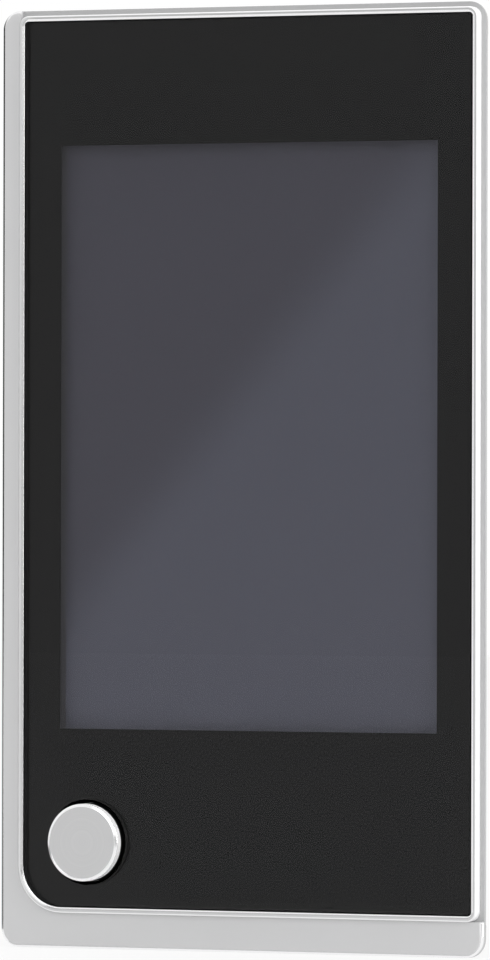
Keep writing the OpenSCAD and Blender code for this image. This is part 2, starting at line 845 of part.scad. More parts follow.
// Threaded clamping sleeve, turned by the notches in its flange
module clamp_sleeve() {
  color(STEEL) difference() {
    union() {
      rod(0, 0, -bracket_t - sleeve_flange_t, -bracket_t, sleeve_flange_r);
      rod(0, 0, -bracket_t, 0, shoulder_r);
      rod(0, 0, 0, sleeve_l, sleeve_r);
    }
    rod(0, 0, -bracket_t - sleeve_flange_t - cut, sleeve_l + cut, barrel_d / 2 + run_clear);
    for (i = [0 : sleeve_notches - 1]) rotate([0, i * 360 / sleeve_notches, 0])
      span(
        [-notch_w / 2, notch_w / 2],
        [-bracket_t - sleeve_flange_t - cut, -bracket_t + cut / 2],
        [sleeve_flange_r - notch_d, sleeve_flange_r + cut]
      );
  }
}

// Camera barrel through the door, with the flange that carries the bezel
module threaded_barrel() {
  color(CHROME) difference() {
    union() {
      rod(0, 0, -barrel_in, y_head, barrel_d / 2);
      rod(0, 0, y_head, y_head + head_flange_t, head_flange_r);
    }
    rod(0, 0, -barrel_in - cut, y_head + head_flange_t + cut, cable_bore_d / 2);
  }
}

// Domed bezel outside the door
module camera_bezel() {
  rim = bezel_d / 2;
  crown = holder_r + bezel_lip;
  rise = bezel_h - bezel_edge;
  // Depth of the dome's centre below its foot, for a dome that passes through rim and crown
  sink = (pow(rim, 2) - pow(crown, 2) - pow(rise, 2)) / (2 * rise);
  color(CHROME) translate([0, y_head, 0]) rotate([-90, 0, 0]) difference() {
    union() {
      cylinder(h = bezel_edge, r = rim);
      intersection() {
        translate([0, 0, bezel_edge - sink]) sphere(r = sqrt(pow(rim, 2) + pow(sink, 2)));
        cylinder(h = bezel_h, r = rim);
      }
    }
    translate([0, 0, -cut]) cylinder(h = cut + head_flange_t, r = head_flange_r + run_clear);
    translate([0, 0, -cut]) cylinder(h = bezel_h + 2 * cut, r = holder_r + run_clear);
  }
}

// Soft gasket between the bezel and the door
module door_gasket() {
  color(BLACK) tube(0, 0, y_seal, y_head, bezel_d / 2 - gasket_inset, barrel_d / 2 + seat_clear);
}

// Black lens holder inside the barrel
module lens_holder() {
  color(BLACK) difference() {
    rod(0, 0, y_sensor_board, y_holder_front, holder_r);
    rod(0, 0, y_sensor_board - cut, y_sensor_board + sensor_well, holder_r - holder_wall);
    rod(0, 0, y_sensor_board, y_holder_front + cut, lens_bore_r);
    rod(0, 0, y_lens_seat, y_holder_front + cut, lens_r + run_clear);
  }
}

// Bulging front lens
module front_lens() {
  bulge_r = lens_r * lens_bulge;
  rise = bulge_r - sqrt(pow(bulge_r, 2) - pow(lens_r, 2));
  color([0.5, 0.55, 0.7, 0.5]) translate([0, y_lens_seat, 0]) rotate([-90, 0, 0]) union() {
    cylinder(h = lens_edge, r = lens_r);
    intersection() {
      translate([0, 0, lens_edge + rise - bulge_r]) sphere(r = bulge_r);
      cylinder(h = lens_edge + rise + cut, r = lens_r);
    }
  }
}

// Rear lens inside the holder
module rear_lens() {
  y = y_sensor_board + sensor_well + rear_lens_gap;
  color([0.5, 0.55, 0.7, 0.5]) rod(0, 0, y, y + rear_lens_t, lens_bore_r - run_clear);
}

// Threaded ring that holds the front lens
module lens_ring() {
  color(BLACK) tube(0, 0, y_holder_front, y_holder_front + lens_ring_t, holder_r, lens_r - lens_lip);
}

// Infrared filter in front of the sensor
module ir_filter() {
  half = filter_side / 2;
  y = y_sensor_board + sensor_t + glue_t;
  color([0.6, 0.4, 0.5, 0.5]) slab([-half, half, -half, half], y, y + filter_t);
}

// Image sensor
module image_sensor() {
  half = sensor_side / 2;
  color(CHARCOAL) slab([-half, half, -half, half], y_sensor_board, y_sensor_board + sensor_t);
}

// Round board that carries the sensor
module sensor_board() {
  color(GREEN) rod(0, 0, y_sensor_board - board_t, y_sensor_board, holder_r);
}

// Socket for the cable behind the sensor board
module camera_socket() {
  half_w = camera_socket_w / 2;
  half_h = camera_socket_h / 2;
  back = y_sensor_board - board_t;
  color("#ece8de") slab([-half_w, half_w, -half_h, half_h], back - camera_socket_l, back);
}

front_frame();
trim_ring();
front_panel();
window_film();
screen_gasket();
lcd_glass();
backlight();
lcd_flex();
lcd_socket();
main_board();
board_pads();
board_chips();
board_screws();
cable_socket();
button_board();
tact_switch();
switch_plunger();
button_cap();
rear_cover();
case_screws();
battery_cells();
battery_springs();
battery_contacts();
battery_cover();
mounting_bracket();
clamp_sleeve();
threaded_barrel();
camera_bezel();
door_gasket();
lens_holder();
front_lens();
rear_lens();
lens_ring();
ir_filter();
image_sensor();
sensor_board();
camera_socket();
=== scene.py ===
"""Looks of a peephole door camera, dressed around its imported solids.

Lengths are metres in the part's own frame: +Z up, the room at -Y and the street at +Y.
"""

import json
import logging
import math
from dataclasses import dataclass
from enum import Enum
from functools import cache
from typing import Callable, Optional, Sequence, Union

import bmesh
import bpy
from mathutils import Matrix, Vector

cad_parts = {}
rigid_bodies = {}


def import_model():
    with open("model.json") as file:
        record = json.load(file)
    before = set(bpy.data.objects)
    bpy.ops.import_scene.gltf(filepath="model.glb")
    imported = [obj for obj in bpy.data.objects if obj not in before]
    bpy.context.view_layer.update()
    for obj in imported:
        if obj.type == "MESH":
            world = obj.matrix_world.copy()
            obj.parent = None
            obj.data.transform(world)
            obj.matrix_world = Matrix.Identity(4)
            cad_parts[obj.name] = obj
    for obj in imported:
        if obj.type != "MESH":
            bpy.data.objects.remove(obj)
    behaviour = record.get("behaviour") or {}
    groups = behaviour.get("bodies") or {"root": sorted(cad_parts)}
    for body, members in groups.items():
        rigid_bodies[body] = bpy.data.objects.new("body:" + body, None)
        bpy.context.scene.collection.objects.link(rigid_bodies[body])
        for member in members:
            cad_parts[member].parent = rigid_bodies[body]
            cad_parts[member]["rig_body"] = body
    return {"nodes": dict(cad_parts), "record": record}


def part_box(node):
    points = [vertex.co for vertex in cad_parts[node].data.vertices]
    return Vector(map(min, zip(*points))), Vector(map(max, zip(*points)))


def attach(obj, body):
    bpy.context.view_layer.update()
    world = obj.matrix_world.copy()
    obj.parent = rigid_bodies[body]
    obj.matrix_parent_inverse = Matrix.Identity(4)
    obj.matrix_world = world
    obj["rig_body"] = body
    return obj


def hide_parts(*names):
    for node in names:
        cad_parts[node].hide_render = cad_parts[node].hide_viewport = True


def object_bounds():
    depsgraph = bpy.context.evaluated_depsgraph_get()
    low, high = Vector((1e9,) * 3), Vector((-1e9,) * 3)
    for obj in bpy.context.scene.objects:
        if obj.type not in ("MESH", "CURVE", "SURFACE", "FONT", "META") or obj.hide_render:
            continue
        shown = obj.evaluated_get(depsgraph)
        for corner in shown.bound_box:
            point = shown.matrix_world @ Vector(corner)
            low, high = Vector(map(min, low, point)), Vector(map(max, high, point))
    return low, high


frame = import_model()
CAD_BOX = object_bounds()

LOG = logging.getLogger("door_camera")
MM = 0.001
TURN = 2 * math.pi
ON_AXIS = 1e-7
PEEPHOLE = Vector((0.0, 0.0, 0.0))
WHITE = (1.0, 1.0, 1.0)

# Limits on the Y part of a surface's direction, which is -1 where it faces the room squarely.
FLAT_FACE = -0.985
CREST_FACE = -0.97
WALL_FACE = -0.2
EDGE_FACE = 0.5
# Limit on its X part.
SIDE_FACE = 0.3

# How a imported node's edges are rounded: the gap that is welded, the angle in degrees up to which faces
# count as one, and the steps of a rounded edge.
WELD_GAP = 0.001 * MM
FLAT_ANGLE = 0.2
EDGE_STEPS = 2

Span = tuple[float, float]
Place = tuple[float, float, float]
Colour = tuple[float, float, float]
Value = Union["Signal", float, Sequence[float]]
Radius = Union[float, Callable[[float], float]]
Profile = Sequence[tuple[Radius, float]]


class Axis(Enum):
    """The direction that a turned piece is turned about."""

    DEPTH = "along Y"
    HEIGHT = "along Z"

    def point(self, centre: Vector, radius: float, angle: float, along: float) -> Vector:
        """Place a point of a turned piece.

        Args:
            centre: A point on the axis; its part along the axis isn't used.
            radius: Distance from the axis.
            angle: Angle about the axis.
            along: Coordinate along the axis.

        Returns:
            The point in the part's frame.
        """
        across = radius * math.cos(angle)
        upward = radius * math.sin(angle)
        if self is Axis.DEPTH:
            return Vector((centre.x + across, along, centre.z + upward))
        return Vector((centre.x + across, centre.y + upward, along))


class Rounding(Enum):
    """How the size of a rounded edge is measured."""

    PLAIN = "OFFSET"
    TAPERED = "ABSOLUTE"


class Signal:
    """A shader socket that is used in sums as if it were a number."""

    def __init__(self, graph: "Graph", socket: Optional[bpy.types.NodeSocket]) -> None:
        """Keep the socket and its graph."""
        self.graph = graph
        self.socket = socket

    def other(self, output: str) -> "Signal":
        """Return another output of the same node."""
        return Signal(self.graph, self.socket.node.outputs[output])

    def _sum(self, operation: str, left: Value, right: Value) -> "Signal":
        """Add one Math node for two values."""
        return self.graph.add("ShaderNodeMath", {"operation": operation}, {0: left, 1: right})

    def __add__(self, right: Value) -> "Signal":
        """Return self + right."""
        return self._sum("ADD", self, right)

    def __radd__(self, left: Value) -> "Signal":
        """Return left + self."""
        return self._sum("ADD", left, self)

    def __sub__(self, right: Value) -> "Signal":
        """Return self - right."""
        return self._sum("SUBTRACT", self, right)

    def __rsub__(self, left: Value) -> "Signal":
        """Return left - self."""
        return self._sum("SUBTRACT", left, self)

    def __mul__(self, right: Value) -> "Signal":
        """Return self * right."""
        return self._sum("MULTIPLY", self, right)

    def __rmul__(self, left: Value) -> "Signal":
        """Return left * self."""
        return self._sum("MULTIPLY", left, self)

    def __gt__(self, right: Value) -> "Signal":
        """Return 1 where self is above right, otherwise 0."""
        return self._sum("GREATER_THAN", self, right)

    def __lt__(self, right: Value) -> "Signal":
        """Return 1 where self is below right, otherwise 0."""
        return self._sum("LESS_THAN", self, right)

    def __or__(self, right: Value) -> "Signal":
        """Return the larger of self and right."""
        return self._sum("MAXIMUM", self, right)

    def wave(self) -> "Signal":
        """Return the sine of self."""
        return self._sum("SINE", self, 0.0)


class Graph:
    """One node tree, with a single way to add a node."""

    def __init__(self, tree: bpy.types.NodeTree) -> None:
        """Start with an empty tree."""
        self.tree = tree
        tree.nodes.clear()

    def add(
        self,
        kind: str,
        settings: Optional[dict[str, object]] = None,
        inputs: Optional[dict[Union[str, int], Value]] = None,
        output: Union[str, int] = 0,
    ) -> Signal:
        """Add a node.

        Args:
            kind: The node's type.
            settings: Its settings, such as an operation, which are set first.
            inputs: Values or links of its sockets, by name or number.
            output: The output to return.

        Returns:
            The chosen output.
        """
        node = self.tree.nodes.new(kind)
        for key, value in (settings or {}).items():
            setattr(node, key, value)
        for key, value in (inputs or {}).items():
            socket = node.inputs[key]
            if isinstance(value, Signal):
                self.tree.links.new(value.socket, socket)
            elif socket.type == "RGBA":
                socket.default_value = (*value[:3], 1.0)
            else:
                socket.default_value = value
        return Signal(self, node.outputs[output] if len(node.outputs) else None)

    def place(self) -> Signal:
        """Return the place on the object, in metres."""
        return self.add("ShaderNodeTexCoord", output="Object")

    def normal(self) -> Signal:
        """Return the bare surface's direction."""
        return self.add("ShaderNodeNewGeometry", output="True Normal")

    def shading(self) -> Signal:
        """Return the direction of the surface as it is shaded, smooth over rounded edges."""
        return self.add("ShaderNodeNewGeometry", output="Normal")

    def dot(self, left: Value, right: Value) -> Signal:
        """Return the product of two vectors as a number."""
        return self.add("ShaderNodeVectorMath", {"operation": "DOT_PRODUCT"}, {0: left, 1: right}, "Value")

    def axes(self, vector: Signal) -> tuple[Signal, Signal, Signal]:
        """Split a vector into x, y and z."""
        split = self.add("ShaderNodeSeparateXYZ", inputs={0: vector})
        return split, split.other("Y"), split.other("Z")

    def vector(self, operation: str, left: Value, right: Value) -> Signal:
        """Add one Vector Math node."""
        return self.add("ShaderNodeVectorMath", {"operation": operation}, {0: left, 1: right})

    def tint(self, factor: Value, low: Value, high: Value) -> Signal:
        """Mix two colours.

        Args:
            factor: Share of the second colour.
            low: Colour at 0.
            high: Colour at 1.

        Returns:
            The mixed colour.
        """
        return self.add("ShaderNodeMix", {"data_type": "RGBA"}, {0: factor, 6: low, 7: high}, 2)

    def noise(self, grain: float, detail: float = 2.0, place: Optional[Signal] = None) -> Signal:
        """Add noise with a grain of a real size.

        Args:
            grain: Size of a grain in metres.
            detail: Octaves of finer noise.
            place: Where to read it, or None for the object's own place.

        Returns:
            Noise from 0 to 1.
        """
        where = place if place is not None else self.place()
        inputs = {"Vector": where, "Scale": 1.0 / grain, "Detail": detail}
        return self.add("ShaderNodeTexNoise", None, inputs)

    def smooth(self, value: Signal, low: float, high: float) -> Signal:
        """Add a soft step.

        Args:
            value: The value that it follows.
            low: Where it starts.
            high: Where it ends.

        Returns:
            0 up to low, and 1 from high on.
        """
        return self.add(
            "ShaderNodeMapRange",
            {"interpolation_type": "SMOOTHSTEP"},
            {"Value": value, "From Min": low, "From Max": high},
        )

    def bump(self, height: Signal, depth: float) -> Signal:
        """Add a bump.

        Args:
            height: Height from 0 to 1.
            depth: Real depth of the relief in metres.

        Returns:
            The bent normal.
        """
        return self.add("ShaderNodeBump", None, {"Strength": 1.0, "Distance": depth, "Height": height})

    def surface(self, **inputs: Value) -> Signal:
        """Add the surface shader, with underscores for the blanks in its sockets' names."""
        named = {key.replace("_", " "): value for key, value in inputs.items()}
        return self.add("ShaderNodeBsdfPrincipled", None, named)

    def close(self, shader: Signal, kind: str = "ShaderNodeOutputMaterial") -> None:
        """Join the last shader to the tree's output."""
        self.add(kind, None, {"Surface": shader})


@dataclass(frozen=True)
class Finish:
    """A finish with a name, a colour and a gloss; each kind of finish adds its own detail."""

    name: str
    colour: Colour
    rough: float = 0.5
    spread: float = 0.1
    tones: Span = (1.0, 1.0)

    @cache
    def material(self) -> bpy.types.Material:
        """Make the finish's material on first use.

        Returns:
            The material, the same one each time.
        """
        made = bpy.data.materials.new(self.name + "_finish")
        made.use_nodes = True
        graph = Graph(made.node_tree)
        graph.close(self.shader(graph))
        return made

    def shader(self, graph: Graph) -> Signal:
        """Build the finish's shader in a graph.

        Args:
            graph: The material's node tree.

        Returns:
            The shader of the whole surface.
        """
        raise NotImplementedError

    def shaded(self, level: float) -> Colour:
        """Return the colour times a level."""
        return tuple(channel * level for channel in self.colour)

    def mottled(self, graph: Graph, share: Signal) -> Signal:
        """Return the colour at its first tone where share is 0, and at its second where it is 1."""
        low, high = self.tones
        return graph.tint(share, self.shaded(low), self.shaded(high))


@dataclass(frozen=True)
class FlakePaint(Finish):
    """Silver paint with fine metal flake under a thin lacquer, cut bright on the bevel of the face."""

    spread: float = 0.08
    tones: Span = (0.93, 1.07)
    flake: float = 0.09 * MM
    cloud: float = 9 * MM
    relief: float = 0.0012 * MM
    metal: float = 0.25
    bright: Colour = (0.93, 0.93, 0.935)
    bright_rough: float = 0.1
    bright_y: float = 0.0
    painted_shade_y: float = 0.0
    ledge_painted_shade: float = 0.72
    middle: float = 0.0

    def shader(self, graph: Graph) -> Signal:
        """Build the paint, and the bare metal where a face leans away from the room.

        The paint set back behind the panel's front, on the ledge and its walls, is darkened as painted
        shade.

        Args:
            graph: The material's node tree.

        Returns:
            The shader of the whole surface.
        """
        flake = graph.noise(self.flake, 1.0)
        top = self.mottled(graph, flake * 0.7 + graph.noise(self.cloud) * 0.3)
        x, y, _ = graph.axes(graph.place())
        # Painted shade: paint set back from the panel's front, on the ledge and walls, is darkened as if
        # in the step's shade.
        behind = y > self.painted_shade_y
        paint = graph.tint(behind, top, self.shaded(self.ledge_painted_shade))
        sideways, facing, _ = graph.axes(graph.shading())
        outer = (sideways < SIDE_FACE) | (x > self.middle)
        lit = (y > self.bright_y) | (sideways < -SIDE_FACE)
        bevel = (facing > FLAT_FACE) * (facing < WALL_FACE) * (1.0 - behind) * outer * lit
        satin = self.rough + (flake - 0.5) * self.spread
        return graph.surface(
            Base_Color=graph.tint(bevel, paint, self.bright),
            Metallic=self.metal + bevel * (1.0 - self.metal),
            Roughness=satin + bevel * (self.bright_rough - self.rough),
            Coat_Weight=0.12,
            Coat_Roughness=0.25,
            Normal=graph.bump(graph.noise(self.flake * 2.5, 1.0), self.relief),
        )


@dataclass(frozen=True)
class BrightMetal(Finish):
    """Plated metal: clear reflections with faint haze and polishing marks."""

    tones: Span = (0.97, 1.02)
    marks: float = 0.25 * MM
    cloud: float = 2.5 * MM
    haze: float = 0.05
    relief: float = 0.0006 * MM

    def shader(self, graph: Graph) -> Signal:
        """Build the plating.

        Args:
            graph: The material's node tree.

        Returns:
            The shader of the whole surface.
        """
        cloud = graph.noise(self.cloud, 3.0)
        return graph.surface(
            Base_Color=self.mottled(graph, cloud),
            Metallic=1.0,
            Roughness=self.rough + cloud * self.haze,
            Normal=graph.bump(graph.noise(self.marks), self.relief),
        )


@dataclass(frozen=True)
class TrimMetal(BrightMetal):
    """Plated trim: polished towards the room, satin on its outer walls, and black where it faces a gap.

    The black in a gap is painted shade. Its crest is darkened by painted shade except on the left, and so
    is its ridge, the upper part of its inner slope, where that faces up.
    """

    centre: Place = (0.0, 0.0, 0.0)
    wall: Colour = (0.9, 0.9, 0.905)
    wall_rough: float = 0.5
    wall_metal: float = 0.2
    slope_haze: float = 0.0
    crest_haze: float = 0.0
    crest_painted_shade: float = 0.0
    crest_fade: Span = (-30.8 * MM, -28.9 * MM)
    ridge_fade: Span = (0.0, 0.12)
    ridge_y: float = -1.0
    ridge_painted_shade: float = 0.0
    # Depth past which the walls are black as painted shade.
    painted_shade_from: float = 1.0
    # Colour of the painted shade in gaps and on the crest and ridge.
    black: Colour = (0.003, 0.003, 0.003)

    def shader(self, graph: Graph) -> Signal:
        """Build the plating from the way that the surface faces.

        Args:
            graph: The material's node tree.

        Returns:
            The shader of the whole surface.
        """
        place = graph.place()
        normal = graph.normal()
        _, y, _ = graph.axes(place)
        _, facing, upward = graph.axes(normal)
        offset = graph.vector("SUBTRACT", place, self.centre)
        across, _, _ = graph.axes(offset)
        outward = graph.dot(normal, offset)
        wall = facing > WALL_FACE
        crest = facing < CREST_FACE
        # Painted shade: the crest, and the ridge where it faces up towards the lamps, are darkened towards
        # black.
        crest_painted_shade_mask = crest * graph.smooth(across, *self.crest_fade)
        ridge = (facing > CREST_FACE) * (y < self.ridge_y) * (outward < 0.0)
        ridge_painted_shade_mask = ridge * graph.smooth(upward, *self.ridge_fade)
        shade = crest_painted_shade_mask * self.crest_painted_shade + ridge_painted_shade_mask * self.ridge_painted_shade
        slope = (facing > CREST_FACE) * (facing < WALL_FACE) * (outward > 0.0)
        # Painted shade: walls that face inward, and walls deeper than a set depth, are black as if in a
        # gap's shade.
        gap = wall * ((outward < 0.0) | (y > self.painted_shade_from))
        cloud = graph.noise(self.cloud, 3.0)
        plated = graph.tint(shade, self.mottled(graph, cloud), self.black)
        return graph.surface(
            Base_Color=graph.tint(gap, graph.tint(wall, plated, self.wall), self.black),
            Metallic=1.0 - wall * (1.0 - self.wall_metal),
            Roughness=(
                self.rough
                + cloud * self.haze
                + wall * (self.wall_rough - self.rough)
                + slope * self.slope_haze
                + crest * self.crest_haze
            ),
            Normal=graph.bump(graph.noise(self.marks), self.relief),
        )


@dataclass(frozen=True)
class SpunMetal(Finish):
    """Metal faced on a lathe, with fine rings round an axis along Y."""

    tones: Span = (0.9, 1.08)
    centre: Place = (0.0, 0.0, 0.0)
    ring: float = 0.16 * MM
    relief: float = 0.006 * MM

    def shader(self, graph: Graph) -> Signal:
        """Build the rings from the distance to the axis.

        Args:
            graph: The material's node tree.

        Returns:
            The shader of the whole surface.
        """
        offset = graph.vector("SUBTRACT", graph.place(), self.centre)
        flat = graph.vector("MULTIPLY", offset, (1.0, 0.0, 1.0))
        reach = graph.add("ShaderNodeVectorMath", {"operation": "LENGTH"}, {0: flat}, "Value")
        along = graph.add("ShaderNodeCombineXYZ", None, {"X": reach})
        fine = graph.noise(self.ring, 3.0, along)
        coarse = graph.noise(self.ring * 5, 1.0, along)
        rings = fine * 0.7 + coarse * 0.3
        return graph.surface(
            Base_Color=self.mottled(graph, rings),
            Metallic=1.0,
            Roughness=self.rough + rings * self.spread,
            Normal=graph.bump(rings, self.relief),
        )


@dataclass(frozen=True)
class RolledMetal(Finish):
    """Sheet or drawn metal with streaks along one direction."""

    spread: float = 0.22
    tones: Span = (0.8, 1.12)
    stretch: Place = (1.0, 1.0, 0.08)
    streak: float = 0.3 * MM
    spangle: float = 1.8 * MM
    relief: float = 0.003 * MM

    def shader(self, graph: Graph) -> Signal:
        """Build the streaks.

        Args:
            graph: The material's node tree.

        Returns:
            The shader of the whole surface.
        """
        drawn = graph.vector("MULTIPLY", graph.place(), self.stretch)
        streaks = graph.noise(self.streak, 3.0, drawn)
        tone = streaks * 0.5 + graph.noise(self.spangle) * 0.5
        return graph.surface(
            Base_Color=self.mottled(graph, tone),
            Metallic=1.0,
            Roughness=self.rough + (tone - 0.5) * self.spread,
            Normal=graph.bump(streaks, self.relief),
        )


@dataclass(frozen=True)
class MouldedPlastic(Finish):
    """Moulded plastic with the grain of a spark-eroded tool."""

    spread: float = 0.16
    tones: Span = (0.82, 1.18)
    grain: float = 0.22 * MM
    cloud: float = 14 * MM
    relief: float = 0.014 * MM

    def shader(self, graph: Graph) -> Signal:
        """Build the grain.

        Args:
            graph: The material's node tree.

        Returns:
            The shader of the whole surface.
        """
        grain = graph.noise(self.grain, 2.5)
        return graph.surface(
            Base_Color=self.mottled(graph, grain * 0.4 + graph.noise(self.cloud) * 0.6),
            Roughness=self.rough + (grain - 0.5) * self.spread,
            Specular_IOR_Level=0.4,
            Normal=graph.bump(grain, self.relief),
        )


@dataclass(frozen=True)
class Foam(Finish):
    """Soft foam or rubber with small cells."""

    spread: float = 0.08
    tones: Span = (0.7, 1.3)
    cell: float = 0.35 * MM
    dust: float = 3 * MM
    relief: float = 0.02 * MM

    def shader(self, graph: Graph) -> Signal:
        """Build the cells.

        Args:
            graph: The material's node tree.

        Returns:
            The shader of the whole surface.
        """
        inputs = {"Vector": graph.place(), "Scale": 1.0 / self.cell}
        cells = graph.add("ShaderNodeTexVoronoi", None, inputs, "Distance")
        dust = graph.noise(self.dust, 3.0)
        return graph.surface(
            Base_Color=self.mottled(graph, cells * 0.6 + dust * 0.4),
            Roughness=self.rough + dust * self.spread,
            Specular_IOR_Level=0.25,
            Normal=graph.bump(cells, self.relief),
        )


@dataclass(frozen=True)
class ClearPlastic(Finish):
    """Clear panel, lens or filter that shows what lies behind it."""

    spread: float = 0.004
    tones: Span = (0.995, 1.0)
    haze: float = 4 * MM
    ior: float = 1.45
    gloss: float = 0.25
    film: float = 0.0
    film_ior: float = 1.38

    def shader(self, graph: Graph) -> Signal:
        """Build the clear body, with a trace of haze.

        Args:
            graph: The material's node tree.

        Returns:
            The shader of the whole surface.
        """
        haze = graph.noise(self.haze)
        return graph.surface(
            Base_Color=self.mottled(graph, haze),
            Roughness=self.rough + haze * self.spread,
            IOR=self.ior,
            Transmission_Weight=1.0,
            Specular_IOR_Level=self.gloss,
            Thin_Film_Thickness=self.film,
            Thin_Film_IOR=self.film_ior,
        )


@dataclass(frozen=True)
class ClearPanel(ClearPlastic):
    """Clear panel whose cut edges are black as painted shade, at its rim and in the button's hole."""

    # Painted shade: the cut edges are black, as if in the shade of the gaps beside them.
    ink: Colour = (0.002, 0.002, 0.002)
    edge_shade_rough: float = 0.6
    edge_shade_spread: float = 0.2
    edge_shade_grain: float = 0.2 * MM

    def shader(self, graph: Graph) -> Signal:
        """Build the clear panel, black as painted shade where the surface stands along the depth.

        Args:
            graph: The material's node tree.

        Returns:
            The shader of the whole surface.
        """
        _, facing, _ = graph.axes(graph.normal())
        # Painted shade on the edges that stand along the depth.
        edge = (facing > -EDGE_FACE) * (facing < EDGE_FACE)
        rough = self.edge_shade_rough + graph.noise(self.edge_shade_grain, 1.0) * self.edge_shade_spread
        black = graph.surface(Base_Color=self.ink, Roughness=rough, Specular_IOR_Level=0.1)
        return graph.add("ShaderNodeMixShader", None, {0: edge, 1: super().shader(graph), 2: black})


@dataclass(frozen=True)
class PrintedFilm(Finish):
    """Black ink printed on film: almost no light comes back."""

    tones: Span = (0.8, 1.2)
    grain: float = 0.12 * MM

    def shader(self, graph: Graph) -> Signal:
        """Build the ink with its faint screen grain.

        Args:
            graph: The material's node tree.

        Returns:
            The shader of the whole surface.
        """
        grain = graph.noise(self.grain, 1.0)
        return graph.surface(
            Base_Color=self.mottled(graph, grain),
            Roughness=self.rough + grain * self.spread,
            Specular_IOR_Level=0.0,
        )


@dataclass(frozen=True)
class Display(Finish):
    """Screen that is switched off: dark border, grey cells, and a painted reflection on its bottom right.
    """

    spread: float = 0.05
    border: Colour = (0.078, 0.076, 0.088)
    # Tone of the painted reflection in the bottom-right corner.
    pale: Colour = (0.105, 0.107, 0.139)
    left: float = 0.0
    middle: Place = (0.0, 0.0, 0.0)
    across: Place = (0.762, 0.0, -0.648)
    blur: float = 5 * MM
    edge_blur: float = 0.05 * MM
    grain: float = 0.15 * MM

    def shader(self, graph: Graph) -> Signal:
        """Build the border, the cells' tone with its painted reflection, and the front polariser.

        Args:
            graph: The material's node tree.

        Returns:
            The shader of the whole surface.
        """
        place = graph.place()
        x, _, _ = graph.axes(place)
        offset = graph.vector("SUBTRACT", place, self.middle)
        # Painted reflection: the cells turn paler across a soft diagonal towards the bottom right.
        painted_reflection_share = graph.smooth(graph.dot(offset, self.across), -self.blur, self.blur)
        grain = graph.noise(self.grain, 1.0, place)
        cells = graph.tint(painted_reflection_share * 0.95 + grain * 0.05, self.colour, self.pale)
        inside = graph.smooth(x, self.left - self.edge_blur, self.left + self.edge_blur)
        return graph.surface(
            Base_Color=graph.tint(inside, self.border, cells),
            Roughness=self.rough + grain * self.spread,
            Specular_IOR_Level=0.1,
        )


@dataclass(frozen=True)
class CircuitBoard(Finish):
    """Solder mask over copper tracks, with tinned pads."""

    tones: Span = (0.8, 1.7)
    track: float = 1.1 * MM
    track_half: Span = (0.04, 0.07)
    pad_r: float = 0.16
    tin: Colour = (0.62, 0.6, 0.55)
    relief: float = 0.02 * MM

    def shader(self, graph: Graph) -> Signal:
        """Build the tracks and pads.

        Args:
            graph: The material's node tree.

        Returns:
            The shader of the whole surface.
        """
        kind = "ShaderNodeTexVoronoi"
        place = graph.place()
        runs = {"Vector": place, "Scale": 1.0 / (3.2 * self.track), "Randomness": 0.6}
        dots = {"Vector": place, "Scale": 0.45 / self.track, "Randomness": 0.35}
        tracks = graph.add(kind, {"feature": "DISTANCE_TO_EDGE"}, runs, "Distance")
        copper = 1.0 - graph.smooth(tracks, *self.track_half)
        tin = graph.add(kind, None, dots, "Distance") < self.pad_r
        return graph.surface(
            Base_Color=graph.tint(tin, self.mottled(graph, copper * 0.55), self.tin),
            Metallic=tin,
            Roughness=self.rough - tin * self.spread,
            Normal=graph.bump(copper | tin, self.relief),
        )


@dataclass(frozen=True)
class FlexFilm(Finish):
    """Amber film with copper lines that run along the tail."""

    spread: float = 0.12
    tones: Span = (1.0, 0.55)
    pitch: float = 0.5 * MM
    line: float = 0.1
    wear: float = 2 * MM
    relief: float = 0.01 * MM

    def shader(self, graph: Graph) -> Signal:
        """Build the lines across X.

        Args:
            graph: The material's node tree.

        Returns:
            The shader of the whole surface.
        """
        x, _, _ = graph.axes(graph.place())
        lines = (x * (TURN / self.pitch)).wave() > self.line
        return graph.surface(
            Base_Color=self.mottled(graph, lines),
            Roughness=self.rough + graph.noise(self.wear) * self.spread,
            Coat_Weight=0.4,
            Coat_Roughness=0.2,
            Normal=graph.bump(lines, self.relief),
        )


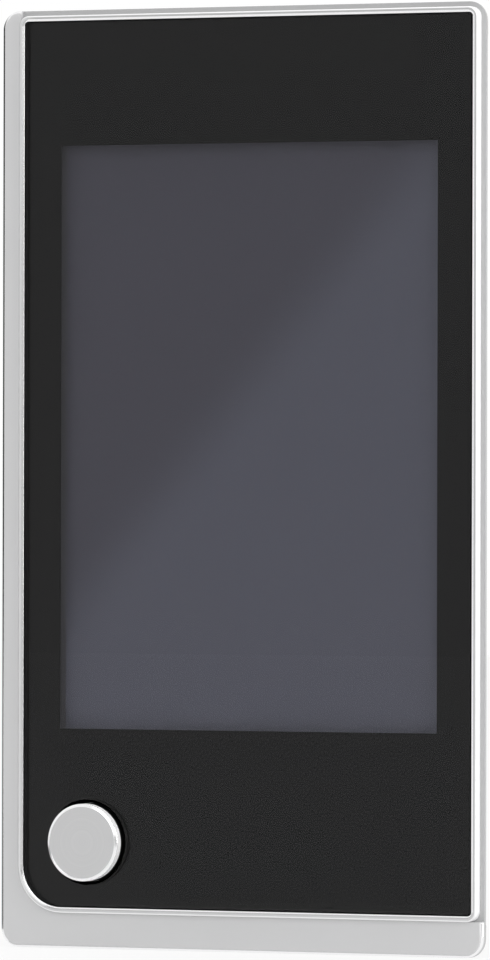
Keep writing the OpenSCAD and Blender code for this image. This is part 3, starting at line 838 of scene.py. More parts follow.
class Shell:
    """Points and faces of a new piece, gathered before they become a mesh."""

    def __init__(self) -> None:
        """Start with no points."""
        self.points: list[Vector] = []
        self.faces: list[tuple[int, ...]] = []
        self.zones: list[int] = []

    def _row(self, points: Sequence[Vector]) -> list[int]:
        """Add points.

        Args:
            points: The points, in order.

        Returns:
            Their numbers.
        """
        start = len(self.points)
        self.points.extend(points)
        return list(range(start, len(self.points)))

    def _band(self, low: list[int], high: list[int], zone: int) -> None:
        """Join two rings of points, either of which may be a single point.

        Args:
            low: Numbers of the first ring's points.
            high: Numbers of the second ring's points.
            zone: Finish number of the faces between them.
        """
        count = max(len(low), len(high))
        for i in range(count):
            j = (i + 1) % count
            ring = [low[i % len(low)], low[j % len(low)], high[j % len(high)], high[i % len(high)]]
            face = tuple(dict.fromkeys(ring))
            if len(face) > 2:
                self.faces.append(face)
                self.zones.append(zone)

    def turn(
        self,
        profile: Profile,
        centre: Vector,
        axis: Axis = Axis.DEPTH,
        angles: Union[int, Sequence[float]] = 96,
        zones: Optional[Sequence[int]] = None,
        loop: bool = False,
    ) -> "Shell":
        """Turn a profile about an axis.

        Args:
            profile: Radius and place along the axis of each point; a radius may depend on the angle.
            centre: A point on the axis.
            axis: The direction of the axis.
            angles: Number of equal steps, or the angles themselves.
            zones: Finish number of each stretch of the profile, 0 by default.
            loop: Whether the last point joins the first, as on a tube.

        Returns:
            The shell itself.
        """
        steps = [TURN * i / angles for i in range(angles)] if isinstance(angles, int) else list(angles)
        rows = []
        for radius, along in profile:
            if not callable(radius) and radius < ON_AXIS:
                rows.append(self._row([axis.point(centre, 0.0, 0.0, along)]))
                continue
            reach = radius if callable(radius) else (lambda angle, fixed=radius: fixed)
            rows.append(self._row([axis.point(centre, reach(angle), angle, along) for angle in steps]))
        pairs = list(zip(rows, rows[1:] + rows[:1])) if loop else list(zip(rows, rows[1:]))
        for number, (low, high) in enumerate(pairs):
            self._band(low, high, zones[number] if zones else 0)
        return self

    def sweep(self, path: Sequence[Vector], radius: float, sides: int = 10, zone: int = 0) -> "Shell":
        """Draw a round wire along a path.

        Args:
            path: Points of the wire's middle.
            radius: Radius of the wire.
            sides: Sides of its section.
            zone: Finish number.

        Returns:
            The shell itself.
        """
        rows = []
        side = Vector((0.0, 0.0, 1.0))
        for i, point in enumerate(path):
            ahead = (path[min(i + 1, len(path) - 1)] - path[max(i - 1, 0)]).normalized()
            side = (side - ahead * side.dot(ahead)).normalized()
            rise = ahead.cross(side)
            ring = [
                point + radius * (math.cos(TURN * k / sides) * side + math.sin(TURN * k / sides) * rise)
                for k in range(sides)
            ]
            rows.append(self._row(ring))
        for low, high in zip(rows, rows[1:]):
            self._band(low, high, zone)
        for end in (rows[0], rows[-1]):
            self.faces.append(tuple(end))
            self.zones.append(zone)
        return self

    def mesh(self, name: str, finishes: Sequence[Finish], sharp: float) -> bpy.types.Mesh:
        """Make the mesh.

        Args:
            name: Its name.
            finishes: The finishes, in the order of their numbers.
            sharp: Angle in degrees above which an edge stays sharp.

        Returns:
            A closed, smooth-shaded mesh.
        """
        mesh = bpy.data.meshes.new(name)
        mesh.from_pydata(self.points, [], self.faces)
        for finish in finishes:
            mesh.materials.append(finish.material())
        mesh.polygons.foreach_set("material_index", self.zones)
        shape = bmesh.new()
        shape.from_mesh(mesh)
        bmesh.ops.recalc_face_normals(shape, faces=shape.faces)
        shape.to_mesh(mesh)
        shape.free()
        mesh.shade_smooth()
        mesh.set_sharp_from_angle(angle=math.radians(sharp))
        return mesh


PLATE_COLOUR = (0.92, 0.92, 0.925)
PLATE_ROUGH = 0.14

CLEAR_PANEL = ClearPanel("clear_panel", (0.99, 0.99, 0.995), 0.0, ior=1.33)
BLACK_FILM = PrintedFilm("black_film", (0.0012, 0.0012, 0.0013), 0.7)
BLACK_FOAM = Foam("foam", (0.02, 0.02, 0.022), 0.85)
TRAY_METAL = RolledMetal("tray_metal", (0.72, 0.73, 0.75), 0.35)
AMBER_FILM = FlexFilm("amber_film", (0.5, 0.22, 0.035), 0.35)
CREAM_PLASTIC = MouldedPlastic("cream_plastic", (0.76, 0.72, 0.62), 0.5)
GREEN_BOARD = CircuitBoard("circuit_board", (0.012, 0.1, 0.045), 0.4)
BLACK_PLASTIC = MouldedPlastic("black_plastic", (0.014, 0.014, 0.015), 0.45)
SCREW_STEEL = BrightMetal("screw_steel", (0.55, 0.55, 0.57), 0.3, haze=0.15)
CHARCOAL_PLASTIC = MouldedPlastic("charcoal_plastic", (0.03, 0.031, 0.034), 0.55)
CELL_JACKET = MouldedPlastic("cell_jacket", (0.03, 0.045, 0.06), 0.3, relief=0.003 * MM)
CELL_BAND = BrightMetal("cell_band", (0.6, 0.36, 0.18), 0.3)
SPRING_METAL = BrightMetal("spring_metal", (0.74, 0.74, 0.73), 0.2)
BRACKET_STEEL = RolledMetal("bracket_steel", (0.62, 0.64, 0.67), 0.38)
NICKEL = BrightMetal("nickel", (0.66, 0.63, 0.58), 0.16, haze=0.12)
CHROME_BRASS = BrightMetal("chrome_brass", (0.82, 0.83, 0.85), 0.1)
GASKET_RUBBER = Foam("gasket_rubber", (0.018, 0.018, 0.019), 0.75, cell=0.15 * MM)
LENS_GLASS = ClearPlastic("lens_glass", (0.97, 0.975, 1.0), 0.0, ior=1.55, gloss=0.5, film=330.0)
FILTER_GLASS = ClearPlastic("filter_glass", (0.75, 0.95, 0.98), 0.0, ior=1.5, gloss=0.5, film=420.0)
SENSOR_CHIP = BrightMetal("sensor_chip", (0.1, 0.09, 0.14), 0.15)


class Assembly:
    """What the sub-assemblies share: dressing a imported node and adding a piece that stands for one."""

    def dress(self, node: str, finish: Finish) -> None:
        """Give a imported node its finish.

        Args:
            node: The node's name.
            finish: Its finish.
        """
        materials = frame["nodes"][node].data.materials
        materials.clear()
        materials.append(finish.material())
        LOG.info("dressed %s in %s", node, finish.name)

    def soften(
        self, node: str, radius: float, least: float = 35.0, rounding: Rounding = Rounding.PLAIN
    ) -> None:
        """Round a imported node's edges with modifiers; its own mesh stays as it is.

        Args:
            node: The node's name.
            radius: Size of the rounding.
            least: Angle in degrees above which an edge is rounded.
            rounding: How the size is measured; tapered keeps thin tips within the solid.
        """
        modifiers = frame["nodes"][node].modifiers
        modifiers.new("weld", "WELD").merge_threshold = WELD_GAP
        flat = modifiers.new("flat_faces", "DECIMATE")
        flat.decimate_type = "DISSOLVE"
        flat.angle_limit = math.radians(FLAT_ANGLE)
        edges = modifiers.new("round_edges", "BEVEL")
        edges.width = radius
        edges.segments = EDGE_STEPS
        edges.limit_method = "ANGLE"
        edges.angle_limit = math.radians(least)
        edges.use_clamp_overlap = False
        edges.offset_type = rounding.value
        modifiers.new("normals", "WEIGHTED_NORMAL").keep_sharp = False
        LOG.info("rounded %s by %.2f mm", node, radius / MM)

    def stand_in(
        self, shell: Shell, name: str, node: str, finishes: Sequence[Finish], sharp: float = 32.0
    ) -> bpy.types.Object:
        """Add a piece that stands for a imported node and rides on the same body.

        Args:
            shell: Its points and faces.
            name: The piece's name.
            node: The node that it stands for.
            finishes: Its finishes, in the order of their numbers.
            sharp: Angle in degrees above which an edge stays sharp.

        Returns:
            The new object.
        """
        piece = bpy.data.objects.new(name, shell.mesh(name, finishes, sharp))
        bpy.context.scene.collection.objects.link(piece)
        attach(piece, frame["nodes"][node]["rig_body"])
        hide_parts(node)
        LOG.info("built %s for %s with %d faces", name, node, len(shell.faces))
        return piece

    @staticmethod
    def slot_of(node: str) -> str:
        """Find the record's material slot that holds a node.

        Args:
            node: The node's name.

        Returns:
            The slot's name.
        """
        for part in frame["record"]["subparts"]:
            if part["node"] == node:
                return part["material_slot"]
        raise ValueError(f"no slot holds {node}")


@dataclass
class FrontFace(Assembly):
    """Silver frame, trim, clear panel and the screen behind it."""

    # Depth behind the panel's front from which the silver paint carries painted shade.
    ledge: float = 1.0 * MM
    bright_from: float = 0.1 * MM
    ridge: float = 0.08 * MM
    frame_edge: float = 0.13 * MM
    frame_least: float = 24.0
    trim_edge: float = 0.025 * MM
    trim_least: float = 20.0
    border_left: float = 1.625 * MM
    # Middle of the painted reflection's soft diagonal on the screen, across and up.
    reflection_middle: Span = (7.4 * MM, -11.4 * MM)

    def build(self) -> None:
        """Dress the front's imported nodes."""
        low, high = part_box("front_panel")
        middle = (low + high) / 2
        face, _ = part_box("front_frame")
        paint = FlakePaint(
            "satin_silver",
            (0.6, 0.6, 0.605),
            0.42,
            bright_y=face.y + self.bright_from,
            painted_shade_y=low.y + self.ledge,
            middle=middle.x,
        )
        self.dress("front_frame", paint)
        self.soften("front_frame", self.frame_edge, self.frame_least, Rounding.TAPERED)
        bead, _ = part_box("trim_ring")
        # The trim's crest and ridge carry painted shade, and its walls black painted shade in the gap.
        trim = TrimMetal(
            "bright_trim",
            PLATE_COLOUR,
            PLATE_ROUGH,
            centre=tuple(middle),
            slope_haze=0.2,
            crest_haze=0.25,
            crest_painted_shade=0.24,
            ridge_y=bead.y + self.ridge,
            ridge_painted_shade=0.42,
        )
        self.dress("trim_ring", trim)
        self.soften("trim_ring", self.trim_edge, self.trim_least)
        self.dress("front_panel", CLEAR_PANEL)
        self.dress("window_film", BLACK_FILM)
        self.dress("screen_gasket", BLACK_FOAM)
        self.dress("lcd_glass", self.display())
        self.dress("backlight", TRAY_METAL)
        self.dress("lcd_flex", AMBER_FILM)

    def display(self) -> Display:
        """Place the screen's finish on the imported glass.

        Returns:
            The finish.
        """
        low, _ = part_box("lcd_glass")
        x, z = self.reflection_middle
        return Display(
            "screen_glass",
            (0.0705, 0.068, 0.09),
            0.35,
            left=low.x + self.border_left,
            middle=(x, 0.0, z),
        )


@dataclass
class ViewButton(Assembly):
    """Round button with a spun face, a bright bevel and a flange behind the frame."""

    flange: float = 1.0 * MM
    flange_t: float = 0.8 * MM
    bevel: float = 0.32 * MM
    bevel_t: float = 0.16 * MM
    edge: float = 0.045 * MM
    dish: float = 0.06 * MM
    dish_rings: tuple[float, ...] = (0.0, 0.35, 0.7, 1.0)
    lip: float = 0.06 * MM
    lip_curve: Span = (0.3, 0.25)
    edge_curve: Span = (0.25, 0.2)
    # Where, from the panel's front, the rim's wall turns black as painted shade in its gap.
    painted_shade_depth: float = -0.25 * MM
    steps: int = 128

    def build(self) -> None:
        """Turn the cap and dress the plunger."""
        low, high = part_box("button_cap")
        centre = (low + high) / 2
        outer = (high.x - low.x) / 2
        cap = outer - self.flange
        face = cap - self.bevel - self.lip
        seat = high.y - self.flange_t
        spun = SpunMetal("spun_metal", (0.77, 0.77, 0.775), 0.3, centre=tuple(centre))
        bowl = [(face * ring, low.y + self.dish * (1.0 - ring * ring)) for ring in self.dish_rings]
        slope = [
            (cap - back * self.edge, low.y + self.bevel_t * (1.0 - back * self.edge / self.bevel))
            for back in (2.0, 1.0)
        ]
        lip_out, lip_in = self.lip_curve
        edge_in, edge_down = self.edge_curve
        rim = [
            (face + lip_out * self.lip, low.y + lip_in * self.lip),
            (face + self.lip, low.y),
            *slope,
            (cap - edge_in * self.edge, low.y + self.bevel_t + edge_down * self.edge),
            (cap, low.y + self.bevel_t + self.edge),
            (cap, seat),
            (outer, seat),
            (outer, high.y),
            (0.0, high.y),
        ]
        zones = [0] * (len(bowl) - 1) + [1] * len(rim)
        shell = Shell().turn(bowl + rim, centre, zones=zones, angles=self.steps)
        panel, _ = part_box("front_panel")
        rim_finish = TrimMetal(
            "button_rim",
            PLATE_COLOUR,
            PLATE_ROUGH,
            centre=tuple(centre),
            wall=(0.97, 0.97, 0.97),
            painted_shade_from=panel.y + self.painted_shade_depth,
        )
        self.stand_in(shell, "view_button_cap", "button_cap", (spun, rim_finish))
        self.dress("switch_plunger", CREAM_PLASTIC)


@dataclass
class Screws(Assembly):
    """A set of pan-head screws with cross recesses, all along Y with their heads towards the door."""

    node: str = "case_screws"
    head_r: float = 1.8 * MM
    head_t: float = 1.1 * MM
    shank_r: float = 0.95 * MM
    root_r: float = 0.72 * MM
    pitch: float = 0.7 * MM
    arm: float = 0.95 * MM
    arm_half_w: float = 0.26 * MM
    recess: float = 0.75 * MM
    crown: tuple[Span, ...] = ((0.97, 0.0), (1.0, 0.12), (0.97, 0.5), (0.85, 0.8), (0.66, 1.0))
    cut: tuple[Span, ...] = ((1.0, 0.0), (0.82, 0.6), (0.5, 1.0))
    tip: float = 0.7
    rings: int = 8
    rows: int = 2

    def cross(self, share: float) -> Callable[[float], float]:
        """Draw the outline of the recess.

        Args:
            share: Its size as a share of the whole recess.

        Returns:
            A radius that depends on the angle.
        """
        def radius(angle: float) -> float:
            """Return the outline's radius at an angle."""
            turned = abs((angle + TURN / 8) % (TURN / 4) - TURN / 8)
            end = self.arm / math.cos(turned)
            flank = self.arm_half_w / max(math.sin(turned), 1e-6)
            return share * min(end, flank)
        return radius

    def angles(self) -> list[float]:
        """List the angles of a turn, with those of the recess's corners.

        Returns:
            The angles in rising order.
        """
        corner = math.atan2(self.arm_half_w, self.arm)
        eighth = TURN / 8
        half = [0.0, corner * 0.5, corner, (corner + eighth) / 2, eighth]
        mirrored = [2 * eighth - angle for angle in reversed(half[1:-1])]
        return [quarter * TURN / 4 + angle for quarter in range(4) for angle in half + mirrored]

    def thread(self, along: float) -> Callable[[float], float]:
        """Draw the thread's outline across the shank.

        Args:
            along: Place along the shank.

        Returns:
            A radius that depends on the angle.
        """
        def radius(angle: float) -> float:
            """Return the thread's radius at an angle."""
            phase = 0.5 + 0.5 * math.cos(TURN * along / self.pitch - angle)
            return self.root_r + (self.shank_r - self.root_r) * phase
        return radius

    def profile(self, tip: float, top: float) -> list[tuple[Radius, float]]:
        """Return the profile of one screw from its tip to its recess.

        Args:
            tip: Place of the tip along Y.
            top: Place of the head's crown along Y.

        Returns:
            The profile's points.
        """
        under = top - self.head_t
        steps = int((under - tip) / self.pitch * self.rings)
        levels = [tip + (under - tip) * (i + 1) / (steps + 1) for i in range(steps)]
        return [
            (0.0, tip),
            (self.root_r * self.tip, tip),
            *((self.thread(y), y) for y in levels),
            (self.shank_r, under),
            *((self.head_r * wide, under + tall * self.head_t) for wide, tall in self.crown),
            *((self.cross(wide), top - deep * self.recess) for wide, deep in self.cut),
            (0.0, top - self.recess),
        ]

    def build(self) -> None:
        """Turn every screw of the set into one piece."""
        low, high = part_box(self.node)
        shell = Shell()
        heights = (low.z + self.head_r, high.z - self.head_r)[: self.rows]
        for x in (low.x + self.head_r, high.x - self.head_r):
            for z in heights:
                shell.turn(self.profile(low.y, high.y), Vector((x, 0.0, z)), angles=self.angles())
        self.stand_in(shell, self.node + "_cross", self.node, (SCREW_STEEL,))


@dataclass
class Electronics(Assembly):
    """Boards, sockets, chips and pads inside the monitor."""

    def build(self) -> None:
        """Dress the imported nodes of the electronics."""
        for node in ("main_board", "button_board"):
            self.dress(node, GREEN_BOARD)
        for node in ("lcd_socket", "cable_socket"):
            self.dress(node, CREAM_PLASTIC)
        for node in ("board_chips", "tact_switch"):
            self.dress(node, BLACK_PLASTIC)
        self.dress("board_pads", BLACK_FOAM)
        Screws(node="board_screws", rows=1).build()


@dataclass
class BatteryBay(Assembly):
    """Three cells with their springs and contacts, and the sliding lid."""

    count: int = 3
    cap_l: float = 1.0 * MM
    cap_r: float = 1.9 * MM
    spring_foot: float = 3.4 * MM
    spring_top: float = 2.2 * MM
    spring_l: float = 3.2 * MM
    contact_t: float = 0.5 * MM
    wire: float = 0.28 * MM
    turns: float = 4.5
    turn_steps: int = 28
    band: float = 12.0 * MM
    rim: float = 0.25 * MM
    corner: float = 0.1 * MM
    dimple: float = 0.15 * MM
    dimple_rings: Span = (0.62, 0.66)
    shoulder: float = 2.4
    cap_foot: float = 1.25
    cell_steps: int = 64
    cover_edge: float = 0.15 * MM

    def build(self) -> None:
        """Build the cells and springs, and dress the contacts and the lid."""
        low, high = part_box("battery_cells")
        cells = Shell()
        springs = Shell()
        radius = (high.y - low.y) / 2
        for i in range(self.count):
            x = low.x + radius + i * (high.x - low.x - 2 * radius) / (self.count - 1)
            centre = Vector((x, (low.y + high.y) / 2, 0.0))
            self.cell(cells, centre, radius, i % 2 == 1)
            self.spring(springs, centre, i % 2 == 1)
        self.stand_in(cells, "cells", "battery_cells", (CELL_JACKET, CELL_BAND, SPRING_METAL))
        self.stand_in(springs, "coil_springs", "battery_springs", (SPRING_METAL,), sharp=60.0)
        self.dress("battery_contacts", SPRING_METAL)
        self.dress("battery_cover", CHARCOAL_PLASTIC)
        self.soften("battery_cover", self.cover_edge)

    def ends(self, flipped: bool) -> Span:
        """Find where a cell ends.

        Args:
            flipped: Whether its cap points down.

        Returns:
            The heights of its foot and of its cap's top.
        """
        low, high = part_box("battery_springs")
        if flipped:
            return high.z - self.spring_l, low.z + self.contact_t
        return low.z + self.spring_l, high.z - self.contact_t

    def cell(self, shell: Shell, centre: Vector, radius: float, flipped: bool) -> None:
        """Turn one cell.

        Args:
            shell: Where it goes.
            centre: A point on its axis.
            radius: Its radius.
            flipped: Whether its cap points down.
        """
        foot, cap = self.ends(flipped)
        way = 1.0 if cap > foot else -1.0
        body = abs(cap - foot) - self.cap_l
        top = body + self.cap_l
        jacket, band, bare = range(3)
        floor, brim = self.dimple_rings
        sizes = [
            (0.0, self.dimple, bare),
            (radius * floor, self.dimple, bare),
            (radius * brim, 0.0, bare),
            (radius - 2 * self.rim, 0.0, bare),
            (radius - self.rim, self.corner, jacket),
            (radius, 2 * self.rim, jacket),
            (radius, body - self.band, band),
            (radius, body - 2 * self.rim, band),
            (radius - self.rim, body - self.corner, band),
            (radius - self.shoulder * self.rim, body, bare),
            (self.cap_r * self.cap_foot, body - self.corner / 2, bare),
            (self.cap_r, body + self.corner, bare),
            (self.cap_r, top - self.dimple, bare),
            (self.cap_r - self.dimple, top, bare),
            (0.0, top, bare),
        ]
        profile = [(r, foot + way * along) for r, along, _ in sizes]
        zones = [zone for _, _, zone in sizes]
        shell.turn(profile, centre, Axis.HEIGHT, self.cell_steps, zones)

    def spring(self, shell: Shell, centre: Vector, flipped: bool) -> None:
        """Wind one coned spring between a cell's foot and the bay's end.

        Args:
            shell: Where it goes.
            centre: A point on the cell's axis.
            flipped: Whether the cell's cap points down.
        """
        foot, cap = self.ends(flipped)
        way = 1.0 if cap > foot else -1.0
        steps = int(self.turns * self.turn_steps)
        path = []
        for i in range(steps + 1):
            share = i / steps
            flat = min(max((share * self.turns - 1.0) / (self.turns - 2.0), 0.0), 1.0)
            radius = self.spring_foot + (self.spring_top - self.spring_foot) * flat - self.wire
            rise = self.wire + (self.spring_l - 2 * self.wire) * flat
            height = foot - way * (self.spring_l - rise)
            path.append(Axis.HEIGHT.point(centre, radius, TURN * self.turns * share, height))
        shell.sweep(path, self.wire)


@dataclass
class RearCase(Assembly):
    """Rear cover and the screws that close the case."""

    edge: float = 0.2 * MM

    def build(self) -> None:
        """Dress the cover and turn the screws."""
        self.dress("rear_cover", CHARCOAL_PLASTIC)
        self.soften("rear_cover", self.edge)
        Screws().build()


@dataclass
class DoorClamp(Assembly):
    """Bracket on the door and the sleeve that clamps it."""

    shoulder_r: float = 8.3 * MM
    tube_r: float = 8.0 * MM
    bore_r: float = 6.98 * MM
    flange_r: float = 10.4 * MM
    flange_t: float = 2.0 * MM
    plate_t: float = 1.5 * MM
    notch_half: float = 9.0
    notch_d: float = 1.6 * MM
    notch_wall: float = 0.999
    notches: int = 4
    rim_steps: int = 20
    edge: float = 0.3 * MM
    bracket_edge: float = 0.2 * MM

    def notched(self, radius: float) -> Callable[[float], float]:
        """Draw the outline of a flange with notches.

        Args:
            radius: The flange's radius.

        Returns:
            A radius that drops in the notches.
        """
        half = math.radians(self.notch_half)
        step = TURN / self.notches

        def reach(angle: float) -> float:
            """Return the flange's radius at an angle."""
            turned = abs((angle + step / 2) % step - step / 2)
            floor = (self.flange_r - self.notch_d) / math.cos(turned)
            return min(radius, floor) if turned < half else radius
        return reach

    def angles(self) -> list[float]:
        """List the angles of a turn, doubled at the notches' walls.

        Returns:
            The angles in rising order.
        """
        step = TURN / self.notches
        half = math.radians(self.notch_half)
        wall = half * self.notch_wall
        inside = [-wall, -half / 2, 0.0, half / 2, wall]
        rest = [half + (step - 2 * half) * i / self.rim_steps for i in range(self.rim_steps + 1)]
        return [n * step + angle for n in range(self.notches) for angle in inside + rest]

    def build(self) -> None:
        """Dress the bracket and turn the sleeve."""
        self.dress("mounting_bracket", BRACKET_STEEL)
        self.soften("mounting_bracket", self.bracket_edge)
        low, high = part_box("clamp_sleeve")
        back = low.y + self.flange_t
        notch = self.notched
        profile = [
            (self.bore_r + self.edge, low.y),
            (notch(self.flange_r - self.edge), low.y),
            (notch(self.flange_r), low.y + self.edge),
            (notch(self.flange_r), back - self.edge / 2),
            (notch(self.flange_r - self.edge / 2), back),
            (self.shoulder_r, back),
            (self.shoulder_r, back + self.plate_t),
            (self.tube_r, back + self.plate_t),
            (self.tube_r, high.y - self.edge),
            (self.tube_r - self.edge, high.y),
            (self.bore_r + self.edge, high.y),
            (self.bore_r, high.y - self.edge),
            (self.bore_r, low.y + self.edge),
        ]
        shell = Shell().turn(profile, PEEPHOLE, angles=self.angles(), loop=True)
        self.stand_in(shell, "notched_sleeve", "clamp_sleeve", (NICKEL,))


@dataclass
class CameraHead(Assembly):
    """Threaded barrel through the door, with the bezel, the gasket and the lenses."""

    barrel_r: float = 6.9 * MM
    bore_r: float = 5.0 * MM
    head_y: float = 36.0 * MM
    head_flange_t: float = 1.5 * MM
    head_flange_r: float = 10.5 * MM
    pitch: float = 1.5 * MM
    thread_d: float = 0.75 * MM
    plain: float = 4.0 * MM
    rows_per_pitch: int = 12
    barrel_steps: int = 72
    barrel_edge: float = 0.4 * MM
    bezel_edge: float = 1.6 * MM
    bezel_steps: int = 128
    dome_steps: int = 24
    foot_edge: float = 0.2 * MM
    foot_corner: float = 0.06 * MM
    holder_r: float = 4.92 * MM
    crown: float = 1.6 * MM
    lip: tuple[Span, ...] = ((0.5 * MM, 0.02 * MM), (0.15 * MM, 0.12 * MM), (0.0, 0.35 * MM))
    gasket_gap: float = 0.2 * MM
    arc_step: int = 18
    ring_bore: float = 3.7 * MM
    ring_edge: float = 0.15 * MM
    ring_step: tuple[Span, ...] = ((0.5 * MM, 0.0), (0.3 * MM, 0.25 * MM), (0.0, 0.45 * MM))
    lens_edge: float = 1.2 * MM
    lens_corner: float = 0.1 * MM
    lens_steps: int = 16
    fit: float = 0.08 * MM

    def build(self) -> None:
        """Build the turned pieces and dress what stays inside."""
        self.barrel()
        self.bezel()
        self.gasket()
        self.holder()
        self.lenses()
        self.dress("ir_filter", FILTER_GLASS)
        self.dress("image_sensor", SENSOR_CHIP)
        self.dress("sensor_board", GREEN_BOARD)
        self.dress("camera_socket", CREAM_PLASTIC)

    def thread(self, along: float, start: float, stop: float) -> Callable[[float], float]:
        """Draw the barrel's outline across its axis.

        Args:
            along: Place along the barrel.
            start: Where the thread starts.
            stop: Where it has run out.

        Returns:
            A radius that depends on the angle.
        """
        ease = min((along - start) / self.pitch, (stop - along) / (2 * self.pitch), 1.0)
        depth = self.thread_d * max(ease, 0.0)

        def radius(angle: float) -> float:
            """Return the barrel's radius at an angle."""
            return self.barrel_r - depth * (0.5 - 0.5 * math.cos(TURN * along / self.pitch - angle))
        return radius

    def barrel(self) -> None:
        """Turn the barrel with its helical thread."""
        low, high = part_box("threaded_barrel")
        stop = self.head_y - self.plain
        count = int((stop - low.y) / self.pitch * self.rows_per_pitch)
        edge = self.barrel_edge
        rows = [low.y + edge + (stop - low.y - edge) * i / count for i in range(count + 1)]
        threaded = [(self.thread(y, low.y + edge, stop), y) for y in rows]
        profile = [(self.barrel_r - edge, low.y)] + threaded + [
            (self.barrel_r, self.head_y),
            (self.head_flange_r, self.head_y),
            (self.head_flange_r, high.y),
            (self.bore_r, high.y),
            (self.bore_r, low.y + edge),
            (self.bore_r + edge, low.y),
        ]
        shell = Shell().turn(profile, PEEPHOLE, angles=self.barrel_steps, loop=True)
        self.stand_in(shell, "helical_barrel", "threaded_barrel", (CHROME_BRASS,))

    def bezel(self) -> None:
        """Turn the domed bezel, with a rounded foot and a polished lip."""
        low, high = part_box("camera_bezel")
        rim = high.x
        crown = self.holder_r + self.crown
        rise = high.y - low.y - self.bezel_edge
        sink = (rim ** 2 - crown ** 2 - rise ** 2) / (2 * rise)
        ball = math.hypot(rim, sink)
        foot = low.y + self.bezel_edge
        dome = []
        for i in range(self.dome_steps + 1):
            r = rim + (crown - rim) * i / self.dome_steps
            dome.append((r, foot - sink + math.sqrt(max(ball ** 2 - r ** 2, 0.0))))
        bore = self.holder_r + self.fit
        pocket = self.head_flange_r + self.fit
        step = low.y + self.head_flange_t
        profile = [
            (rim - self.foot_edge, low.y),
            (rim - self.foot_corner, low.y + self.foot_corner),
            (rim, low.y + self.foot_edge),
            *dome,
            *((bore + out, high.y - deep) for out, deep in self.lip),
            (bore, step),
            (pocket, step),
            (pocket, low.y),
        ]
        shell = Shell().turn(profile, PEEPHOLE, angles=self.bezel_steps, loop=True)
        self.stand_in(shell, "domed_bezel", "camera_bezel", (CHROME_BRASS,), sharp=40.0)

    def gasket(self) -> None:
        """Turn the soft gasket with round edges."""
        low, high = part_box("door_gasket")
        outer = high.x
        inner = self.barrel_r + self.gasket_gap
        mid = (low.y + high.y) / 2
        half = (high.y - low.y) / 2
        turns = [math.radians(degrees) for degrees in range(-90, 91, self.arc_step)]
        arc = [(math.cos(turn), math.sin(turn)) for turn in turns]
        outside = [(outer - half + half * c, mid + half * s) for c, s in arc]
        inside = [(inner + half - half * c, mid - half * s) for c, s in arc]
        shell = Shell().turn(outside + inside, PEEPHOLE, loop=True)
        self.stand_in(shell, "soft_gasket", "door_gasket", (GASKET_RUBBER,), sharp=60.0)

    def holder(self) -> None:
        """Dress the lens holder and turn the ring that keeps the lens in."""
        self.dress("lens_holder", BLACK_PLASTIC)
        low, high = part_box("lens_ring")
        inner = self.ring_bore
        edge = self.ring_edge
        profile = [
            (inner, low.y),
            (self.holder_r, low.y),
            (self.holder_r, high.y - edge),
            (self.holder_r - edge, high.y),
            *((inner + out, high.y - deep) for out, deep in self.ring_step),
        ]
        shell = Shell().turn(profile, PEEPHOLE, loop=True)
        self.stand_in(shell, "stepped_lens_ring", "lens_ring", (BLACK_PLASTIC,))

    def lenses(self) -> None:
        """Turn the bulging front lens and the rear lens."""
        low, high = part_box("front_lens")
        reach = high.x
        rise = high.y - low.y - self.lens_edge
        ball = (reach ** 2 + rise ** 2) / (2 * rise)
        corner = self.lens_corner
        cap = []
        for i in range(self.lens_steps + 1):
            r = reach * (1.0 - i / self.lens_steps)
            cap.append((r, high.y - ball + math.sqrt(ball ** 2 - r ** 2)))
        profile = [(0.0, low.y), (reach - corner, low.y), (reach, low.y + corner), *cap]
        shell = Shell().turn(profile, PEEPHOLE)
        self.stand_in(shell, "bulging_lens", "front_lens", (LENS_GLASS,), sharp=50.0)
        self.dress("rear_lens", LENS_GLASS)


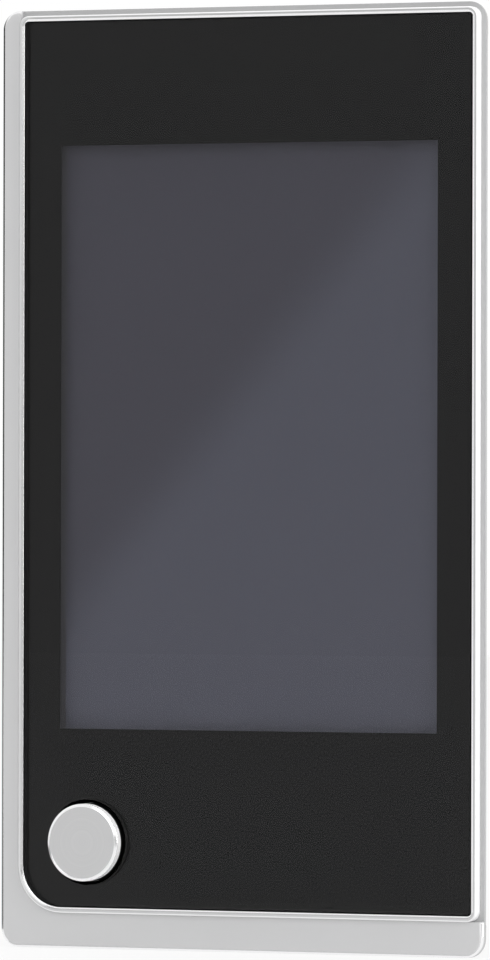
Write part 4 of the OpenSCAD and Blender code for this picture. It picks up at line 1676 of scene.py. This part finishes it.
@dataclass
class Studio:
    """Pale floor, soft lamps, white surroundings and the camera."""

    floor_side: float = 4.0
    floor_tones: Span = (0.84, 0.86)
    floor_grain: float = 40 * MM
    front_level: float = 0.53
    front_fade: Span = (0.112, 0.14)
    front_side: Span = (0.0, 0.1)
    flag_level: float = 0.06
    flag_left: Span = (0.03, 0.09)
    flag_front: Span = (-0.048, -0.036)
    room_fade: Span = (0.55, 0.85)
    band_fade: Span = (0.1, 0.6)
    sky_left: Span = (0.15, 0.4)
    sky_front: Span = (-0.12, -0.06)
    ambient: float = 0.79
    shadow_share: float = 0.14
    aim: Span = (-0.035 * MM, -1.97 * MM)
    distance: float = 1131.2 * MM
    azimuth: float = 25.0
    elevation: float = -0.1286
    roll: float = 0.1202
    focal_px: float = 9167.0
    image_h: float = 960.0
    sensor: float = 36.0
    clip: Span = (0.05, 20.0)

    def build(self) -> None:
        """Build the stage, the light and the camera."""
        scene = bpy.context.scene
        scene.view_settings.view_transform = "Standard"
        self.floor()
        self.world(scene)
        self.lamp("key_lamp", (0.2, -0.9, 0.5), 0.8, 2.4)
        self.lamp("side_lamp", (0.95, -0.14, 0.2), 0.6, 5.2)
        self.lamp("top_lamp", (0.0, 0.15, 0.9), 0.8, 1.6)
        scene.camera = self.camera()
        LOG.info("built the studio")

    def target(self) -> Vector:
        """Find the point that the camera looks at, on the panel's front.

        Returns:
            The point.
        """
        low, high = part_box("front_panel")
        across, upward = self.aim
        return Vector(((low.x + high.x) / 2 + across, low.y, (low.z + high.z) / 2 + upward))

    def floor(self) -> None:
        """Lay a pale floor under the part that shows white and keeps the shadow."""
        low, _ = CAD_BOX
        half = self.floor_side / 2
        mesh = bpy.data.meshes.new("floor")
        corners = [(-half, -half, low.z), (half, -half, low.z), (half, half, low.z), (-half, half, low.z)]
        mesh.from_pydata(corners, [], [(0, 1, 2, 3)])
        material = bpy.data.materials.new("pale_floor")
        material.use_nodes = True
        graph = Graph(material.node_tree)
        low_tone, high_tone = ((tone, tone, tone) for tone in self.floor_tones)
        matt = graph.surface(
            Base_Color=graph.tint(graph.noise(self.floor_grain), low_tone, high_tone),
            Roughness=0.9,
            Specular_IOR_Level=0.0,
        )
        path = graph.add("ShaderNodeLightPath", output="Is Camera Ray")
        x, y, _ = graph.axes(graph.place())
        front = graph.smooth(y * -1.0, *self.front_fade) * (1.0 - graph.smooth(y - x, *self.front_side))
        left = graph.smooth(x * -1.0, *self.flag_left) * graph.smooth(y, *self.flag_front)
        level = path | (1.0 - front * (1.0 - self.front_level) - left * (1.0 - self.flag_level))
        glow = graph.add("ShaderNodeEmission", None, {"Color": WHITE, "Strength": level})
        seen = path | path.other("Is Glossy Ray") | path.other("Is Transmission Ray")
        share = seen * (1.0 - self.shadow_share)
        graph.close(graph.add("ShaderNodeMixShader", None, {0: share, 1: matt, 2: glow}))
        mesh.materials.append(material)
        floor = bpy.data.objects.new("floor", mesh)
        bpy.context.scene.collection.objects.link(floor)

    def world(self, scene: bpy.types.Scene) -> None:
        """Surround the part with white that is dimmer on the room's side, and dark behind on the left.

        Args:
            scene: The scene that gets the world.
        """
        world = bpy.data.worlds.new("studio")
        world.use_nodes = True
        graph = Graph(world.node_tree)
        path = graph.add("ShaderNodeLightPath", output="Is Camera Ray")
        direction = graph.add("ShaderNodeTexCoord", output="Generated")
        x, y, z = graph.axes(direction)
        room = graph.smooth(y * -1.0, *self.room_fade)
        band = 1.0 - graph.smooth(z | (z * -1.0), *self.band_fade)
        flag = graph.smooth(y, *self.sky_front) * graph.smooth(x * -1.0, *self.sky_left) * band
        mirror = 1.0 - room * (1.0 - self.front_level) - flag * (1.0 - self.flag_level)
        bounce = path.other("Is Glossy Ray") | path.other("Is Transmission Ray")
        strength = path | (bounce * mirror + (1.0 - bounce) * self.ambient)
        glow = graph.add("ShaderNodeBackground", None, {"Color": WHITE, "Strength": strength})
        graph.close(glow, "ShaderNodeOutputWorld")
        scene.world = world

    def lamp(self, name: str, place: Place, size: float, power: float) -> None:
        """Hang one soft square lamp that faces the part.

        Args:
            name: Its name.
            place: Where it hangs, from the camera's target.
            size: Its side.
            power: Its power in watts.
        """
        light = bpy.data.lights.new(name, "AREA")
        light.size = size
        light.energy = power
        lamp = bpy.data.objects.new(name, light)
        bpy.context.scene.collection.objects.link(lamp)
        lamp.location = self.target() + Vector(place)
        lamp.rotation_euler = Vector(place).to_track_quat("Z", "Y").to_euler()

    def camera(self) -> bpy.types.Object:
        """Place the camera at the photograph's viewing angle.

        Returns:
            The camera.
        """
        data = bpy.data.cameras.new("camera")
        data.sensor_width = self.sensor
        data.lens = self.focal_px * self.sensor / self.image_h
        data.clip_start, data.clip_end = self.clip
        turn = math.radians(self.azimuth)
        tilt = math.radians(self.elevation)
        away = Vector((math.sin(turn) * math.cos(tilt), -math.cos(turn) * math.cos(tilt), math.sin(tilt)))
        level = Vector((math.cos(turn), math.sin(turn), 0.0))
        upright = away.cross(level)
        roll = math.radians(self.roll)
        right = level * math.cos(roll) + upright * math.sin(roll)
        up = away.cross(right)
        eye = self.target() + away * self.distance
        camera = bpy.data.objects.new("camera", data)
        columns = Matrix((right, up, away)).transposed().to_4x4()
        camera.matrix_world = Matrix.Translation(eye) @ columns
        bpy.context.scene.collection.objects.link(camera)
        return camera


def main() -> None:
    """Build the studio and every sub-assembly, in order."""
    logging.basicConfig(level=logging.INFO, format="%(name)s: %(message)s")
    Studio().build()
    for assembly in (
        FrontFace(),
        ViewButton(),
        Electronics(),
        BatteryBay(),
        RearCase(),
        DoorClamp(),
        CameraHead(),
    ):
        assembly.build()


if __name__ == "__main__":
    main()
